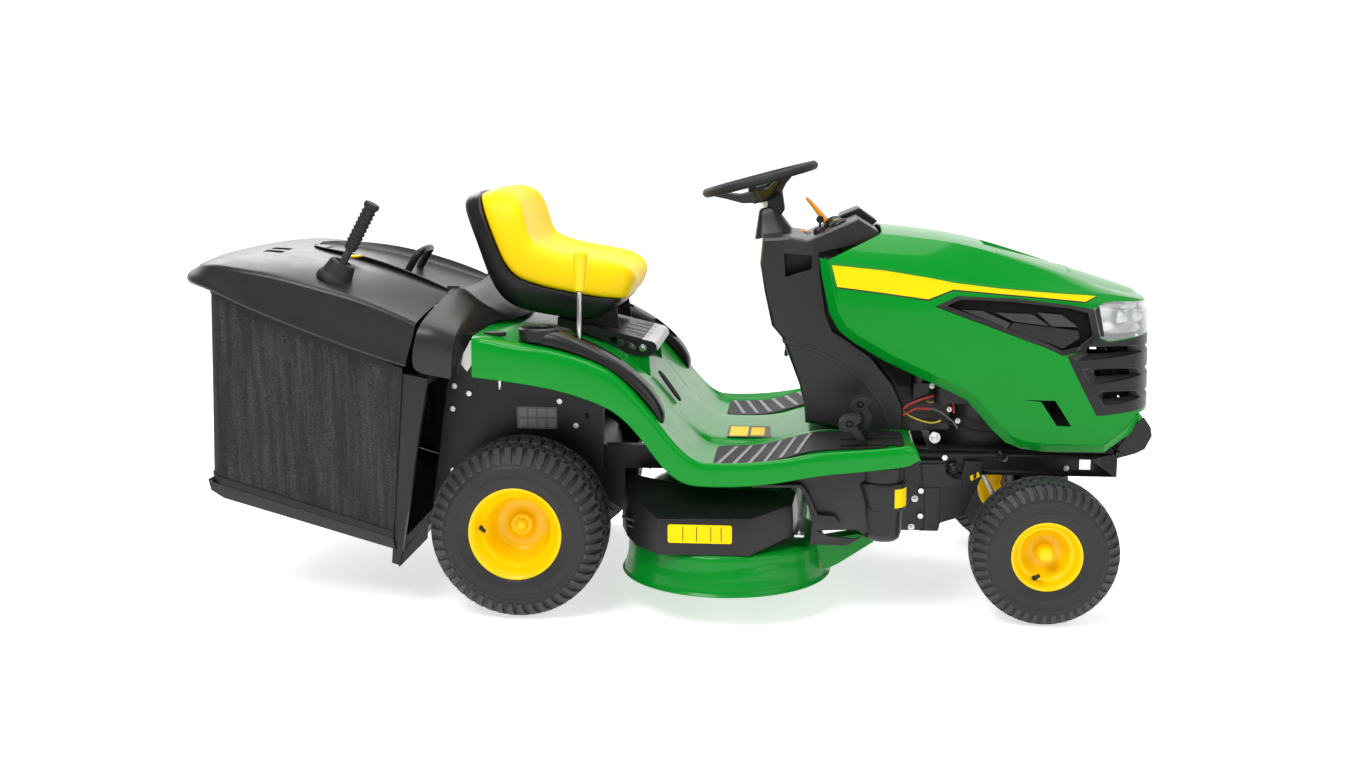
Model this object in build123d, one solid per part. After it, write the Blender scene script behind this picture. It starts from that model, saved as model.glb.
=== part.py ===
from build123d import *
import math
import os

# Riding lawn mower with a rear grass collector.  Millimetres, +X forward, +Y to the machine's left, +Z up.
# Stations are measured forward from the rear axle and heights from the ground.  At export everything is
# moved back by MIDDLE_X, so that the origin lies on the ground below the middle of the machine.

MIDDLE_X = 344.0  # from the rear axle to the middle of the overall length

# ---- wheels and axles
WHEELBASE = 1303.0
REAR_TYRE_R = 223.5
REAR_TYRE_W = 216.0
REAR_RIM_R = 101.6
REAR_FLANGE_R = 117.0
REAR_TRACK_HALF = 381.0
FRONT_TYRE_R = 182.5
FRONT_TYRE_W = 150.0
FRONT_RIM_R = 76.2
FRONT_FLANGE_R = 87.0
FRONT_TRACK_HALF = 359.0
BEAD_SEAT = 0.86  # where the rim flanges stand, as a share of the tyre's half width
AXLE_SHAFT_R = 9.5
RUNNING_GAP = 0.05  # radial clearance of every shaft in its bore
AIR_GAP = 0.5  # between bodies that pass each other

# ---- frame
RAIL_OUT = 180.0
RAIL_WALL = 4.0
RAIL_Z = (328.0, 390.0)
RAIL_X = (190.0, 1505.0)
PLATE_OUT = 250.0
PLATE_WALL = 5.0
SHELF_Z = 514.0  # top of the battery shelf
BATTERY_X = (86.0, 178.0)
DRAWBAR_HOLE_R = 9.5
NOSE_HOLE_R = 5.25
KINGPIN_Y = 265.0
AXLE_PIVOT_Z = 275.0
STEER_ARM = 90.0

# ---- seat, steering and controls
SEAT_HALF = 218.0
SEAT_PIVOT = (285.0, 645.0)
WHEEL_CENTRE = Vector(583, 0, 1079)
COLUMN_DIR = Vector(-0.2548, 0, 0.967).normalized()
STEERING_R = 157.5
STEERING_GRIP_R = 12.5
PEDAL_PIVOT = (880.0, 402.0)
LEVER_PIVOT = (150.0, 480.0)
LEVER_Y = -400.0
KEY = (742.0, -110.0)  # x and y of the ignition key
SWITCH = (790.0, -110.0)  # x and y of the blade switch
KEY_R = 5.0
SWITCH_R = 6.0
THROTTLE_Y = -40.0
THROTTLE_PIVOT = (775.0, 930.0)
THROTTLE_HALF = 4.0
PEDALS = {"forward_pedal": -405.0, "reverse_pedal": -325.0, "brake_pedal": 370.0}
PEDAL_ROD_R = 7.0

# ---- mower deck
SPINDLE_X = 512.0
SPINDLE_Y = 258.0
CHAMBER_R = 252.0
LIP_R = 267.0
DECK_LIP_Z = 90.0
DECK_TOP_Z = 190.0
BLADE_R = 245.0

# ---- collector
COLLECTOR_PIVOT = (-195.0, 800.0)
BAG_HALF = 420.0
LID_HALF = 448.0
LUG_Y = (238.0, 243.0)
PANEL_Y = (184.0, 206.0)

SLIVER_VOLUME = 1.0  # cubic millimetres; smaller leftovers of a cut are dropped

os.makedirs("parts", exist_ok=True)


def save(name, shape):
    """Writes one node, moved so that the origin is below the middle of the machine."""
    to_origin = Location((-MIDDLE_X, 0, 0))
    solids = [solid.moved(to_origin) for solid in shape.solids() if solid.volume > SLIVER_VOLUME]
    export_step(Compound(children=solids), f"parts/{name}.step")


def side_prism(outline, y_low, y_high):
    """Extrudes an outline of (x, z) points from y_low to y_high."""
    face = Plane.XZ * make_face(Polyline(*outline, close=True))
    return Pos(0, y_high, 0) * extrude(face, amount=y_high - y_low)


def plan_prism(outline, z_low, z_high):
    """Extrudes an outline of (x, y) points from z_low to z_high."""
    face = make_face(Polyline(*outline, close=True))
    return Pos(0, 0, z_low) * extrude(face, amount=z_high - z_low)


def front_prism(outline, x_low, x_high):
    """Extrudes an outline of (y, z) points from x_low to x_high."""
    face = Plane.YZ * make_face(Polyline(*outline, close=True))
    return Pos(x_low, 0, 0) * extrude(face, amount=x_high - x_low)


def block(x, y, z):
    """A box between two limits on each axis."""
    centre = [(a + b) / 2 for a, b in (x, y, z)]
    return Pos(*centre) * Box(*[b - a for a, b in (x, y, z)])


def rod(start, end, radius):
    """A round bar between two points."""
    start, end = Vector(*start), Vector(*end)
    run = end - start
    plane = Plane(origin=start, z_dir=run.normalized())
    return plane * Cylinder(radius, run.length, align=(Align.CENTER, Align.CENTER, Align.MIN))


def cone(start, end, r_start, r_end):
    """A tapered round bar between two points."""
    start, end = Vector(*start), Vector(*end)
    run = end - start
    plane = Plane(origin=start, z_dir=run.normalized())
    return plane * Cone(r_start, r_end, run.length, align=(Align.CENTER, Align.CENTER, Align.MIN))


def mirrored(shape):
    """The same piece on the machine's other side."""
    return mirror(shape, about=Plane.XZ)


def both(shape):
    """A pair of pieces, one on each side."""
    return Compound(children=[*shape.solids(), *mirrored(shape).solids()])


def group(*shapes):
    """Separate solids that share one node."""
    return Compound(children=[s for shape in shapes for s in shape.solids()])


def widened(outline, grow):
    """A (x, z) outline's face moved outwards by grow."""
    return Plane.XZ * offset(make_face(Polyline(*outline, close=True)), amount=grow, kind=Kind.INTERSECTION)


def strip(line, thickness):
    """A closed (x, z) outline: the line, and the line again moved down by the thickness."""
    return list(line) + [(x, z - thickness) for x, z in reversed(line)]


def arch_loft(stations):
    """A ruled loft along X.  Each station is x, half width, floor, shoulder height, crease half width,
    crease height and crown height."""
    faces = []
    for x, half, floor, shoulder, crease_y, crease_z, crown in stations:
        right = [(-half, floor), (-half, shoulder), (-crease_y, crease_z)]
        left = [(-y, z) for y, z in reversed(right)]
        face = Plane.YZ * make_face(Polyline(*right, (0, crown), *left, close=True))
        faces.append(Pos(x, 0, 0) * face)
    return loft(faces, ruled=True)


def arch_shell(stations, wall, below=40):
    """The loft less the same loft made smaller by the wall, left open below."""
    shift = (0, -wall, -below, -0.4 * wall, -0.6 * wall, -wall, -wall)
    inner = [tuple(value + change for value, change in zip(station, shift)) for station in stations]
    return arch_loft(stations) - arch_loft(inner)


def turned(profile, centre_x, centre_z, y_base, outward):
    """A wheel part: (radius, offset) points turned about the axle; offsets run outwards along Y."""
    face = make_face(Polyline(*[(r, outward * y) for r, y in profile], close=True))
    ring = revolve(face, Axis.Y)
    return Pos(centre_x, y_base * outward, centre_z) * ring


# ---------------------------------------------------------------- wheels
def tyre_profile(outer, bead, flange, width):
    """Half-round shouldered tyre section, open towards the rim."""
    h = width / 2
    wall = 11.0
    shoulder = outer - 0.16 * (outer - bead)
    mid = bead + 0.52 * (outer - bead)
    out = [
        (bead, -h * BEAD_SEAT), (flange + 1, -h * BEAD_SEAT), (mid, -h), (shoulder, -h * 0.93),
        (outer - 6, -h * 0.72),
        (outer, -h * 0.35), (outer, h * 0.35), (outer - 6, h * 0.72), (shoulder, h * 0.93), (mid, h),
        (flange + 1, h * BEAD_SEAT), (bead, h * BEAD_SEAT),
    ]
    inn = [
        (bead, h * BEAD_SEAT - 14), (bead + 14, h * BEAD_SEAT - 12), (mid, h - wall),
        (shoulder - wall, h * 0.88 - wall),
        (outer - 18, h * 0.5), (outer - 18, -h * 0.5), (shoulder - wall, -h * 0.88 + wall), (mid, -h + wall),
        (bead + 14, -h * BEAD_SEAT + 12), (bead, -h * BEAD_SEAT + 14),
    ]
    return out + inn


def rim_profile(bead, flange, width, dish, hub_r, hub_out, bore):
    """Rim barrel with flanges, a dished disc and a hub; dish is the disc's offset from the middle."""
    h = width / 2
    edge = h * BEAD_SEAT
    return [
        (bore, dish - 22), (hub_r, dish - 22), (hub_r, dish - 3), (bead - 26, dish - 3),
        (bead - 4, -edge * 0.5), (bead - 4, -edge - 3), (flange, -edge - 3), (flange, -edge),
        (bead, -edge), (bead, edge), (flange, edge),
        (flange, edge + 3), (bead - 4, edge + 3), (bead - 4, edge * 0.30), (bead - 22, dish + 3),
        (hub_r, dish + 3), (hub_r, hub_out), (bore, hub_out),
    ]


def make_wheels():
    for side, sign in (("left", 1), ("right", -1)):
        tyre = turned(
            tyre_profile(REAR_TYRE_R, REAR_RIM_R, REAR_FLANGE_R, REAR_TYRE_W),
            0, REAR_TYRE_R, REAR_TRACK_HALF, sign,
        )
        rim = turned(
            rim_profile(REAR_RIM_R, REAR_FLANGE_R, REAR_TYRE_W, -12, 34, 34, AXLE_SHAFT_R),
            0, REAR_TYRE_R, REAR_TRACK_HALF, sign,
        )
        shaft = rod((0, sign * 104, REAR_TYRE_R), (0, sign * (REAR_TRACK_HALF + 40), REAR_TYRE_R), AXLE_SHAFT_R)
        save(f"rear_tyre_{side}", tyre)
        save(f"rear_rim_{side}", group(rim, shaft))
        tyre = turned(
            tyre_profile(FRONT_TYRE_R, FRONT_RIM_R, FRONT_FLANGE_R, FRONT_TYRE_W),
            WHEELBASE, FRONT_TYRE_R, FRONT_TRACK_HALF, sign,
        )
        rim = turned(
            rim_profile(FRONT_RIM_R, FRONT_FLANGE_R, FRONT_TYRE_W, 0, 22, 42, AXLE_SHAFT_R + RUNNING_GAP),
            WHEELBASE, FRONT_TYRE_R, FRONT_TRACK_HALF, sign,
        )
        save(f"front_tyre_{side}", tyre)
        save(f"front_rim_{side}", rim)


# ---------------------------------------------------------------- frame and rear axle
def make_frame():
    low, high = RAIL_Z
    web = block(RAIL_X, (RAIL_OUT - RAIL_WALL, RAIL_OUT), RAIL_Z)
    top = block(RAIL_X, (RAIL_OUT - 28, RAIL_OUT), (high - RAIL_WALL, high))
    bottom = block(RAIL_X, (RAIL_OUT - 28, RAIL_OUT), (low, low + RAIL_WALL))
    notch = block((1416, 1444), (150, 200), (346, 372))
    rail = web + top + bottom - notch
    nose = block((RAIL_X[1], RAIL_X[1] + 6), (-RAIL_OUT, RAIL_OUT), RAIL_Z)
    for y in (-80, 80):
        nose -= Pos(RAIL_X[1] + 3, y, 359) * Rot(0, 90, 0) * Cylinder(NOSE_HOLE_R, 20)
    hangers = []
    for x in (1256.0, 1344.0):
        outline = [(-RAIL_OUT + 30, high - 5), (-70, 245), (70, 245), (RAIL_OUT - 30, high - 5)]
        hangers.append(front_prism(outline, x, x + 6))
    pin = rod((1254, 0, AXLE_PIVOT_Z), (1352, 0, AXLE_PIVOT_Z), 12)
    hangers = [h - pin for h in hangers]
    px, pz = PEDAL_PIVOT
    pedal_rod = rod((px, -462, pz), (px, 462, pz), PEDAL_ROD_R)
    save("frame_rails", group(both(rail), nose, *hangers, pin, pedal_rod))


def make_rear_frame():
    """Two side plates that carry the axle, the collector's pivot pins and the drawbar plate."""
    outline = [
        (-268, 200), (-209, 600), (-209, 814), (-178, 814), (-150, 706), (-90, 698), (60, 678), (176, 648),
        (196, 560), (190, 328), (110, 300), (70, 190),
    ]
    px, pz = COLLECTOR_PIVOT
    lx, lz = LEVER_PIVOT
    plate = side_prism(outline, PLATE_OUT - PLATE_WALL, PLATE_OUT)
    plate -= rod((0, 200, REAR_TYRE_R), (0, 300, REAR_TYRE_R), 33)
    plate -= rod((lx, 200, lz), (lx, 300, lz), 8 + RUNNING_GAP)
    plate += rod((px, 232, pz), (px, PLATE_OUT, pz), 8)
    spacer = block((182, 190), (RAIL_OUT, PLATE_OUT - PLATE_WALL), RAIL_Z)
    between_plates = (-PLATE_OUT + PLATE_WALL, PLATE_OUT - PLATE_WALL)
    rear_bar = block((-258, -150), between_plates, (250, 256))
    rear_bar -= Pos(-232, 0, 253) * Cylinder(DRAWBAR_HOLE_R, 20)
    shelf = block((BATTERY_X[0] - 4, BATTERY_X[1] + 4), between_plates, (SHELF_Z - 5, SHELF_Z))
    save("rear_frame", group(both(plate + spacer), rear_bar, shelf))


def make_transaxle():
    case = rod((0, -100, REAR_TYRE_R), (0, 100, REAR_TYRE_R), 74)
    case += rod((0, -244, REAR_TYRE_R), (0, 244, REAR_TYRE_R), 32)
    case += rod((70, 0, 190), (70, 0, 268), 42)
    for sign in (-1, 1):
        case -= rod((0, sign * 100, REAR_TYRE_R), (0, sign * 260, REAR_TYRE_R), AXLE_SHAFT_R + RUNNING_GAP)
    save("transaxle_case", case)


BOLT_SPOTS = ((-196, 554), (-158, 535), (-202, 494), (79, 518), (121, 455), (-120, 600), (-205, 330))


def make_bolts():
    """Hexagon heads on the side plates and on the rails."""
    heads = []
    for x, z in BOLT_SPOTS:
        head = extrude(RegularPolygon(8, 6), amount=6)
        heads.append(Pos(x, PLATE_OUT + 6, z) * Rot(90, 0, 0) * head)
    for x, z in ((1225, 372), (1382, 350)):
        head = extrude(RegularPolygon(8, 6), amount=6)
        heads.append(Pos(x, RAIL_OUT + 6, z) * Rot(90, 0, 0) * head)
    for x, z in ((1040, 438), (1070, 378), (1012, 289), (1012, 222)):
        head = extrude(RegularPolygon(8, 6), amount=6)
        heads.append(Pos(x, PANEL_Y[1] + 6, z) * Rot(90, 0, 0) * head)
    save("frame_bolts", both(group(*heads)))


# ---------------------------------------------------------------- front axle and steering
def make_front_axle():
    x = WHEELBASE
    arm = front_prism([(0, 250), (0, 300), (60, 300), (250, 252), (250, 214), (60, 250)], x - 20, x + 20)
    beam = arm + mirrored(arm) + rod((x - 38, 0, AXLE_PIVOT_Z), (x + 38, 0, AXLE_PIVOT_Z), 30)
    for sign in (-1, 1):
        beam += rod((x, sign * KINGPIN_Y, 202), (x, sign * KINGPIN_Y, 260), 21)
    for sign in (-1, 1):
        beam -= rod((x, sign * KINGPIN_Y, 190), (x, sign * KINGPIN_Y, 270), 12 + RUNNING_GAP)
    beam -= rod((x - 60, 0, AXLE_PIVOT_Z), (x + 60, 0, AXLE_PIVOT_Z), 12 + RUNNING_GAP)
    save("front_axle_beam", beam)
    for side, sign in (("left", 1), ("right", -1)):
        y = sign * KINGPIN_Y
        end = sign * (FRONT_TRACK_HALF + 46)
        knuckle = rod((x, y, 163), (x, y, 274), 12) + rod((x, y, 160), (x, y, 201), 20)
        knuckle += rod((x, y, FRONT_TYRE_R), (x, end, FRONT_TYRE_R), AXLE_SHAFT_R)
        knuckle += block((x - STEER_ARM - 14, x + 14), (y - 14, y + 14), (262, 270))
        save(f"knuckle_{side}", knuckle)
    bar_x = x - STEER_ARM
    save("tie_rod", rod((bar_x, -KINGPIN_Y - 8, 252), (bar_x, KINGPIN_Y + 8, 252), 6))


def make_steering():
    plane = Plane(origin=WHEEL_CENTRE, z_dir=COLUMN_DIR, x_dir=(0, 1, 0))
    ring = Torus(STEERING_R - STEERING_GRIP_R, STEERING_GRIP_R)
    hub = Pos(0, 0, -38) * Cylinder(34, 34)
    wheel = ring + hub
    reach = STEERING_R - STEERING_GRIP_R - 4
    for angle in (-90, 28, 152):
        spoke = side_prism([(20, -50), (reach, -6), (reach, 6), (60, -8), (20, -24)], -14, 14)
        wheel += Rot(0, 0, angle) * spoke
    wheel -= Pos(0, 0, -60) * Cylinder(9.8, 60)
    save("steering_wheel", plane * wheel)
    lower = WHEEL_CENTRE - COLUMN_DIR * 640
    upper = WHEEL_CENTRE - COLUMN_DIR * 31
    save("steering_shaft", rod(tuple(lower), tuple(upper), 9.8))


# ---------------------------------------------------------------- engine bay
ENGINE_X = 1165.0
BLOWER_R = 138.0
LEAD_R = 2.6


def make_engine():
    block_shape = rod((ENGINE_X, 0, 392), (ENGINE_X, 0, 470), 118)
    block_shape += block((ENGINE_X + 60, ENGINE_X + 190), (-62, 62), (430, 545))
    block_shape -= rod((ENGINE_X, 0, 380), (ENGINE_X, 0, 440), 14 + RUNNING_GAP)
    for i in range(9):
        fin_x = ENGINE_X + 126 + 7 * i
        block_shape += block((fin_x, fin_x + 2.5), (-74, 74), (420, 556))
    bed = plan_prism([(1030, -175), (1030, 175), (1300, 175), (1300, -175)], 390, 392)
    bed -= rod((ENGINE_X, 0, 380), (ENGINE_X, 0, 400), 30)
    save("engine_block", group(block_shape, bed))
    blower = rod((ENGINE_X, 0, 470), (ENGINE_X, 0, 585), BLOWER_R)
    blower += cone((ENGINE_X, 0, 585), (ENGINE_X, 0, 640), BLOWER_R, 96)
    blower -= block((ENGINE_X + 60, ENGINE_X + 200), (-74, 74), (400, 556))
    save("blower_housing", blower)
    filter_cover = fillet(block((1040, 1180), (-215, -142), (520, 640)).edges().filter_by(Axis.Z), 18)
    save("air_filter_cover", filter_cover)
    pipe = rod((1330, 90, 505), (1365, 90, 505), 14)
    silencer = fillet(block((1360, 1440), (-120, 120), (430, 560)).edges().filter_by(Axis.Y), 24)
    save("muffler", silencer + pipe)
    tank = fillet(block((930, 1080), (-165, 165), (720, 830)).edges().filter_by(Axis.Z), 28)
    save("fuel_tank", tank + rod((1005, 60, 830), (1005, 60, 862), 32))
    terminals = [rod((110, y, 636), (110, y, 646), 7) for y in (-60, 60)]
    save("battery", group(block(BATTERY_X, (-88, 88), (SHELF_Z, 636)), *terminals))
    shaft = rod((ENGINE_X, 0, 296), (ENGINE_X, 0, 438), 14)
    for z in (298, 316):
        shaft += cone((ENGINE_X, 0, z), (ENGINE_X, 0, z + 8), 62, 52)
        shaft += cone((ENGINE_X, 0, z + 8), (ENGINE_X, 0, z + 16), 52, 62)
    save("engine_pulley", shaft)


def make_wiring():
    """Three leads clipped along the engine's right side, each in straight runs with round bends."""
    leads = []
    for k in range(3):
        y = -150.0 - 9 * k
        route = [
            (1010, y + 40, 452 + 12 * k), (1040, y - 6, 468 + 10 * k), (1080, y - 22, 456 + 12 * k),
            (1120, y - 24, 436 + 10 * k), (1170, y - 20, 425 + 8 * k), (1215, y + 8, 440 + 10 * k),
        ]
        line = FilletPolyline(*route, radius=14)
        tube = sweep(Plane(origin=line @ 0, z_dir=line % 0) * Circle(LEAD_R), path=line)
        leads.append(tube)
    save("wiring_harness", group(*leads))


# ---------------------------------------------------------------- hood
HOOD_WALL = 4.0
HOOD_STATIONS = [
    (742, 272, 350, 892, 206, 962, 974),
    (900, 272, 350, 873, 203, 951, 962),
    (1046, 273, 350, 848, 202, 935, 946),
    (1155, 274, 350, 829, 201, 910, 927),
    (1257, 274, 350, 820, 200, 881, 896),
    (1371, 273, 350, 814, 198, 843, 860),
    (1446, 266, 350, 804, 196, 820, 836),
    (1500, 252, 350, 789, 190, 804, 820),
    (1548, 224, 350, 770, 166, 787, 803),
    (1582, 172, 350, 752, 126, 767, 784),
    (1600, 96, 350, 738, 70, 748, 762),
]
HOOD_SIDE = [
    (742, 892), (897, 951), (915, 1000), (1640, 1000), (1640, 491), (1565, 488), (1525, 451), (1463, 408),
    (1314, 409), (1255, 416), (1216, 432), (1183, 462), (1150, 500), (1116, 538), (1072, 560), (991, 597),
    (909, 635), (827, 683), (794, 710), (769, 754), (748, 851),
]
GRILLE_SIDE = [
    (1362, 658), (1392, 665), (1432, 700), (1458, 690), (1640, 712), (1640, 514), (1559, 514), (1436, 503),
    (1401, 567), (1372, 622),
]
LAMP_SIDE = [(1416, 772), (1443, 788), (1470, 790), (1640, 784), (1640, 714), (1458, 692), (1434, 702)]
INSERT_SIDE = [
    (1028, 775), (1083, 803), (1224, 799), (1367, 781), (1386, 703), (1361, 673), (1329, 667), (1200, 715),
]
VENT_SIDE = [(1250, 543), (1332, 542), (1375, 476), (1338, 478), (1298, 538)]
HINGE = (1500.0, 400.0)  # hood hinge line, x and z
HINGE_PIN_R = 6.0
# The bumper's corners stay inside the circle that the hood's lower lip sweeps about the hinge line.
BUMPER_SIDE = [(1512, 395), (1538, 456), (1571, 473), (1582, 456), (1572, 414), (1520, 392)]
BUMPER_HALF = 198.0


def make_hood():
    skin = arch_shell(HOOD_STATIONS, HOOD_WALL) & side_prism(HOOD_SIDE, -320, 320)
    grille_zone = side_prism(GRILLE_SIDE, -320, 320)
    lamp_zone = side_prism(LAMP_SIDE, 70, 320) + side_prism(LAMP_SIDE, -320, -70)
    insert_zone = side_prism(INSERT_SIDE, 240, 320) + side_prism(INSERT_SIDE, -320, -240)
    vents = side_prism(VENT_SIDE, 240, 320) + side_prism(VENT_SIDE, -320, -240)
    grille = skin & grille_zone
    centre_bar = block((1300, 1700), (-16, 16), (400, 800))
    for z_low, z_high in ((656, 673), (599, 616), (542, 560)):
        grille -= block((1425, 1640), (-260, 260), (z_low, z_high)) - centre_bar
    hood = skin - grille_zone - lamp_zone - insert_zone - vents
    ears = side_prism([(1486, 392), (1486, 470), (1560, 500), (1560, 470), (1512, 392)], 222, 228)
    ears += side_prism([(1486, 440), (1560, 500), (1560, 470)], 222, 248)
    ears -= rod((HINGE[0], 200, HINGE[1]), (HINGE[0], 260, HINGE[1]), HINGE_PIN_R + RUNNING_GAP)
    save("hood_shell", hood + ears + mirrored(ears))
    save("front_grille", grille)
    save("headlight_lenses", skin & lamp_zone)
    save("hood_side_inserts", skin & insert_zone)
    bumper = side_prism(BUMPER_SIDE, -BUMPER_HALF, BUMPER_HALF)
    pins = rod((HINGE[0], -236, HINGE[1]), (HINGE[0], 236, HINGE[1]), HINGE_PIN_R)
    save("front_bumper", group(bumper - pins, pins))


# ---------------------------------------------------------------- fender deck and footrests
FENDER_TOP = [
    (-98, 716), (-65, 712), (-18, 700), (71, 689), (129, 677), (188, 657), (246, 628), (274, 604), (316, 559),
    (364, 500), (401, 455), (427, 429), (453, 412), (480, 402), (630, 404), (720, 432), (960, 446), (984, 440),
]
SKIRT_LOW = [
    (984, 420), (953, 410), (812, 393), (709, 377), (605, 364), (532, 353), (480, 353), (427, 356), (388, 374),
    (348, 417), (309, 475), (265, 522), (216, 551), (157, 573), (99, 589), (25, 600), (-64, 610), (-98, 613),
]
FENDER_HALF = 485.0
SHEET = 4.0


def make_fender():
    deck = side_prism(strip(FENDER_TOP, SHEET), -FENDER_HALF, FENDER_HALF)
    skirt = side_prism(FENDER_TOP + SKIRT_LOW, FENDER_HALF - SHEET, FENDER_HALF)
    lip = side_prism(strip([(x, z + 14) for x, z in FENDER_TOP[13:]], 16), FENDER_HALF - SHEET, FENDER_HALF)
    deck += skirt + mirrored(skirt) + lip + mirrored(lip)
    deck -= block((712, 1000), (-206, 206), (300, 600))
    deck -= side_prism([(130, 600), (130, 720), (300, 720), (300, 560)], LEVER_Y - 12, LEVER_Y + 12)
    for y in PEDALS.values():
        deck -= block((800, 930), (y - 9, y + 9), (380, 500))
    save("fender_deck", deck)
    mat_line = [(500, 404), (630, 405), (718, 433), (786, 437)]
    mat = side_prism([(x, z + 3) for x, z in mat_line] + [(x, z) for x, z in reversed(mat_line)], 226, 440)
    mat -= side_prism(strip(FENDER_TOP, SHEET), 0, 500)
    save("footrest_mats", both(mat))


def make_fender_consoles():
    """Side trays on the fenders; the right one has a cup holder behind the height lever's slot."""
    top = [(8, 728), (103, 729), (145, 704), (207, 680), (264, 652), (322, 602)]
    foot = [(322, 556), (316, 560), (274, 605), (246, 629), (188, 658), (129, 678), (71, 690), (8, 697)]
    tray = side_prism(top + foot, 330, 462)
    tray -= side_prism(strip(FENDER_TOP, SHEET), 300, 500)
    slotted = mirrored(tray)
    slotted -= side_prism([(130, 640), (130, 740), (300, 740), (300, 540)], LEVER_Y - 12, LEVER_Y + 12)
    slotted -= rod((62, -398, 704), (62, -398, 760), 38)
    save("fender_consoles", group(tray, slotted))


def make_side_panels():
    """Moulded panels ahead of the footrests and the belt pods below them."""
    panel_side = [(990, 392), (1000, 452), (1052, 450), (1088, 392), (1088, 300), (1052, 208), (1000, 208)]
    panel = side_prism(panel_side, *PANEL_Y)
    pod_side = [(579, 340), (579, 352), (700, 372), (850, 392), (850, 268), (790, 268), (737, 280), (697, 340)]
    pod = rod((896, 420, 214), (896, 420, 384), 54) + side_prism(pod_side, 400, 470)
    save("side_panels", group(both(panel), both(pod)))


# ---------------------------------------------------------------- console and dash
CONSOLE = [
    (594, 940), (588, 865), (621, 702), (648, 678), (666, 633), (694, 570), (713, 501), (714, 454), (852, 438),
    (960, 426), (964, 499), (940, 556), (884, 630), (822, 676), (786, 702), (762, 750), (738, 880), (738, 922),
]


def make_console():
    outer = side_prism(CONSOLE, -198, 198)
    inner = extrude(widened(CONSOLE, -5), amount=386)
    inner = Pos(0, 193, 0) * inner
    tower = outer - inner - block((720, 950), (-193, 193), (400, 470))
    shaft_hole = rod(tuple(WHEEL_CENTRE - COLUMN_DIR * 700), tuple(WHEEL_CENTRE), 11)
    save("console_tower", tower - shaft_hole)
    boot_low = WHEEL_CENTRE - COLUMN_DIR * 150
    boot_high = WHEEL_CENTRE - COLUMN_DIR * 62
    boot = cone(tuple(boot_low), tuple(boot_high), 56, 22)
    dash_side = [(664, 945), (711, 933), (836, 988), (888, 954), (888, 930), (836, 960), (738, 926)]
    panel = side_prism(dash_side, -196, 196)
    panel += boot - side_prism(CONSOLE, -198, 198)
    bore = rod(tuple(WHEEL_CENTRE - COLUMN_DIR * 220), tuple(WHEEL_CENTRE), 9.8 + RUNNING_GAP)
    panel -= bore
    for (x, y), radius in ((KEY, KEY_R), (SWITCH, SWITCH_R)):
        panel -= rod((x, y, 900), (x, y, 1000), radius + RUNNING_GAP)
    panel -= block((738, 812), (THROTTLE_Y - THROTTLE_HALF - 1, THROTTLE_Y + THROTTLE_HALF + 1), (900, 1000))
    save("dash_panel", panel - side_prism(CONSOLE, -198, 198))


def make_controls():
    tx, tz = THROTTLE_PIVOT
    blade = [(tx - 6, tz), (tx + 6, tz), (tx - 26, tz + 60), (tx - 58, tz + 92), (tx - 64, tz + 84)]
    near, far = THROTTLE_Y - THROTTLE_HALF, THROTTLE_Y + THROTTLE_HALF
    save("throttle_lever", side_prism(blade, near, far) + rod((tx, near, tz), (tx, far, tz), 8))
    key_x, key_y = KEY
    key = rod((key_x, key_y, 932), (key_x, key_y, 966), KEY_R)
    key += block((key_x - 14, key_x + 14), (key_y - 3, key_y + 3), (964, 990))
    save("ignition_key", key)
    switch_x, switch_y = SWITCH
    knob = rod((switch_x, switch_y, 934), (switch_x, switch_y, 988), SWITCH_R)
    knob += rod((switch_x, switch_y, 986), (switch_x, switch_y, 1000), 16)
    save("blade_switch", knob)
    px, pz = PEDAL_PIVOT
    for name, y in PEDALS.items():
        arm_side = [
            (px - 8, pz - 6), (px + 8, pz - 6), (px - 30, pz + 120), (px - 46, pz + 148), (px - 56, pz + 140),
        ]
        arm = side_prism(arm_side, y - 4, y + 4)
        hub = rod((px, y - 26, pz), (px, y + 26, pz), 13)
        tread = rod((px - 46, y - 34, pz + 144), (px - 46, y + 34, pz + 144), 13)
        pedal = arm + hub + tread - rod((px, y - 60, pz), (px, y + 60, pz), PEDAL_ROD_R + RUNNING_GAP)
        save(name, pedal)
    lx, lz = LEVER_PIVOT
    lever = rod((lx, LEVER_Y, lz), (lx, LEVER_Y, 824), 6) + rod((lx, LEVER_Y - 12, lz), (lx, -236, lz), 8)
    save("height_lever_rod", lever)
    knob = cone((lx, LEVER_Y, 824), (lx, LEVER_Y, 900), 9, 17) + Pos(lx, LEVER_Y, 900) * Sphere(17)
    save("height_lever_knob", knob - rod((lx, LEVER_Y, 800), (lx, LEVER_Y, 824), 6))


# ---------------------------------------------------------------- seat
SEAT_LOWER = [
    (-143, 1040), (-125, 992), (-96, 924), (-73, 870), (-44, 831), (11, 814), (85, 797), (160, 783), (241, 774),
]
SEAT_TOP = [
    (264, 790), (272, 815), (262, 846), (232, 866), (180, 876), (107, 886), (50, 898), (8, 913), (-7, 931),
    (-17, 969), (-29, 1016), (-47, 1044), (-78, 1058), (-118, 1060),
]
PAN_LOWER = [
    (225, 752), (148, 711), (47, 734), (-14, 741), (-74, 758), (-107, 793), (-128, 863), (-152, 933),
    (-176, 1010), (-160, 1044),
]


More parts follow.
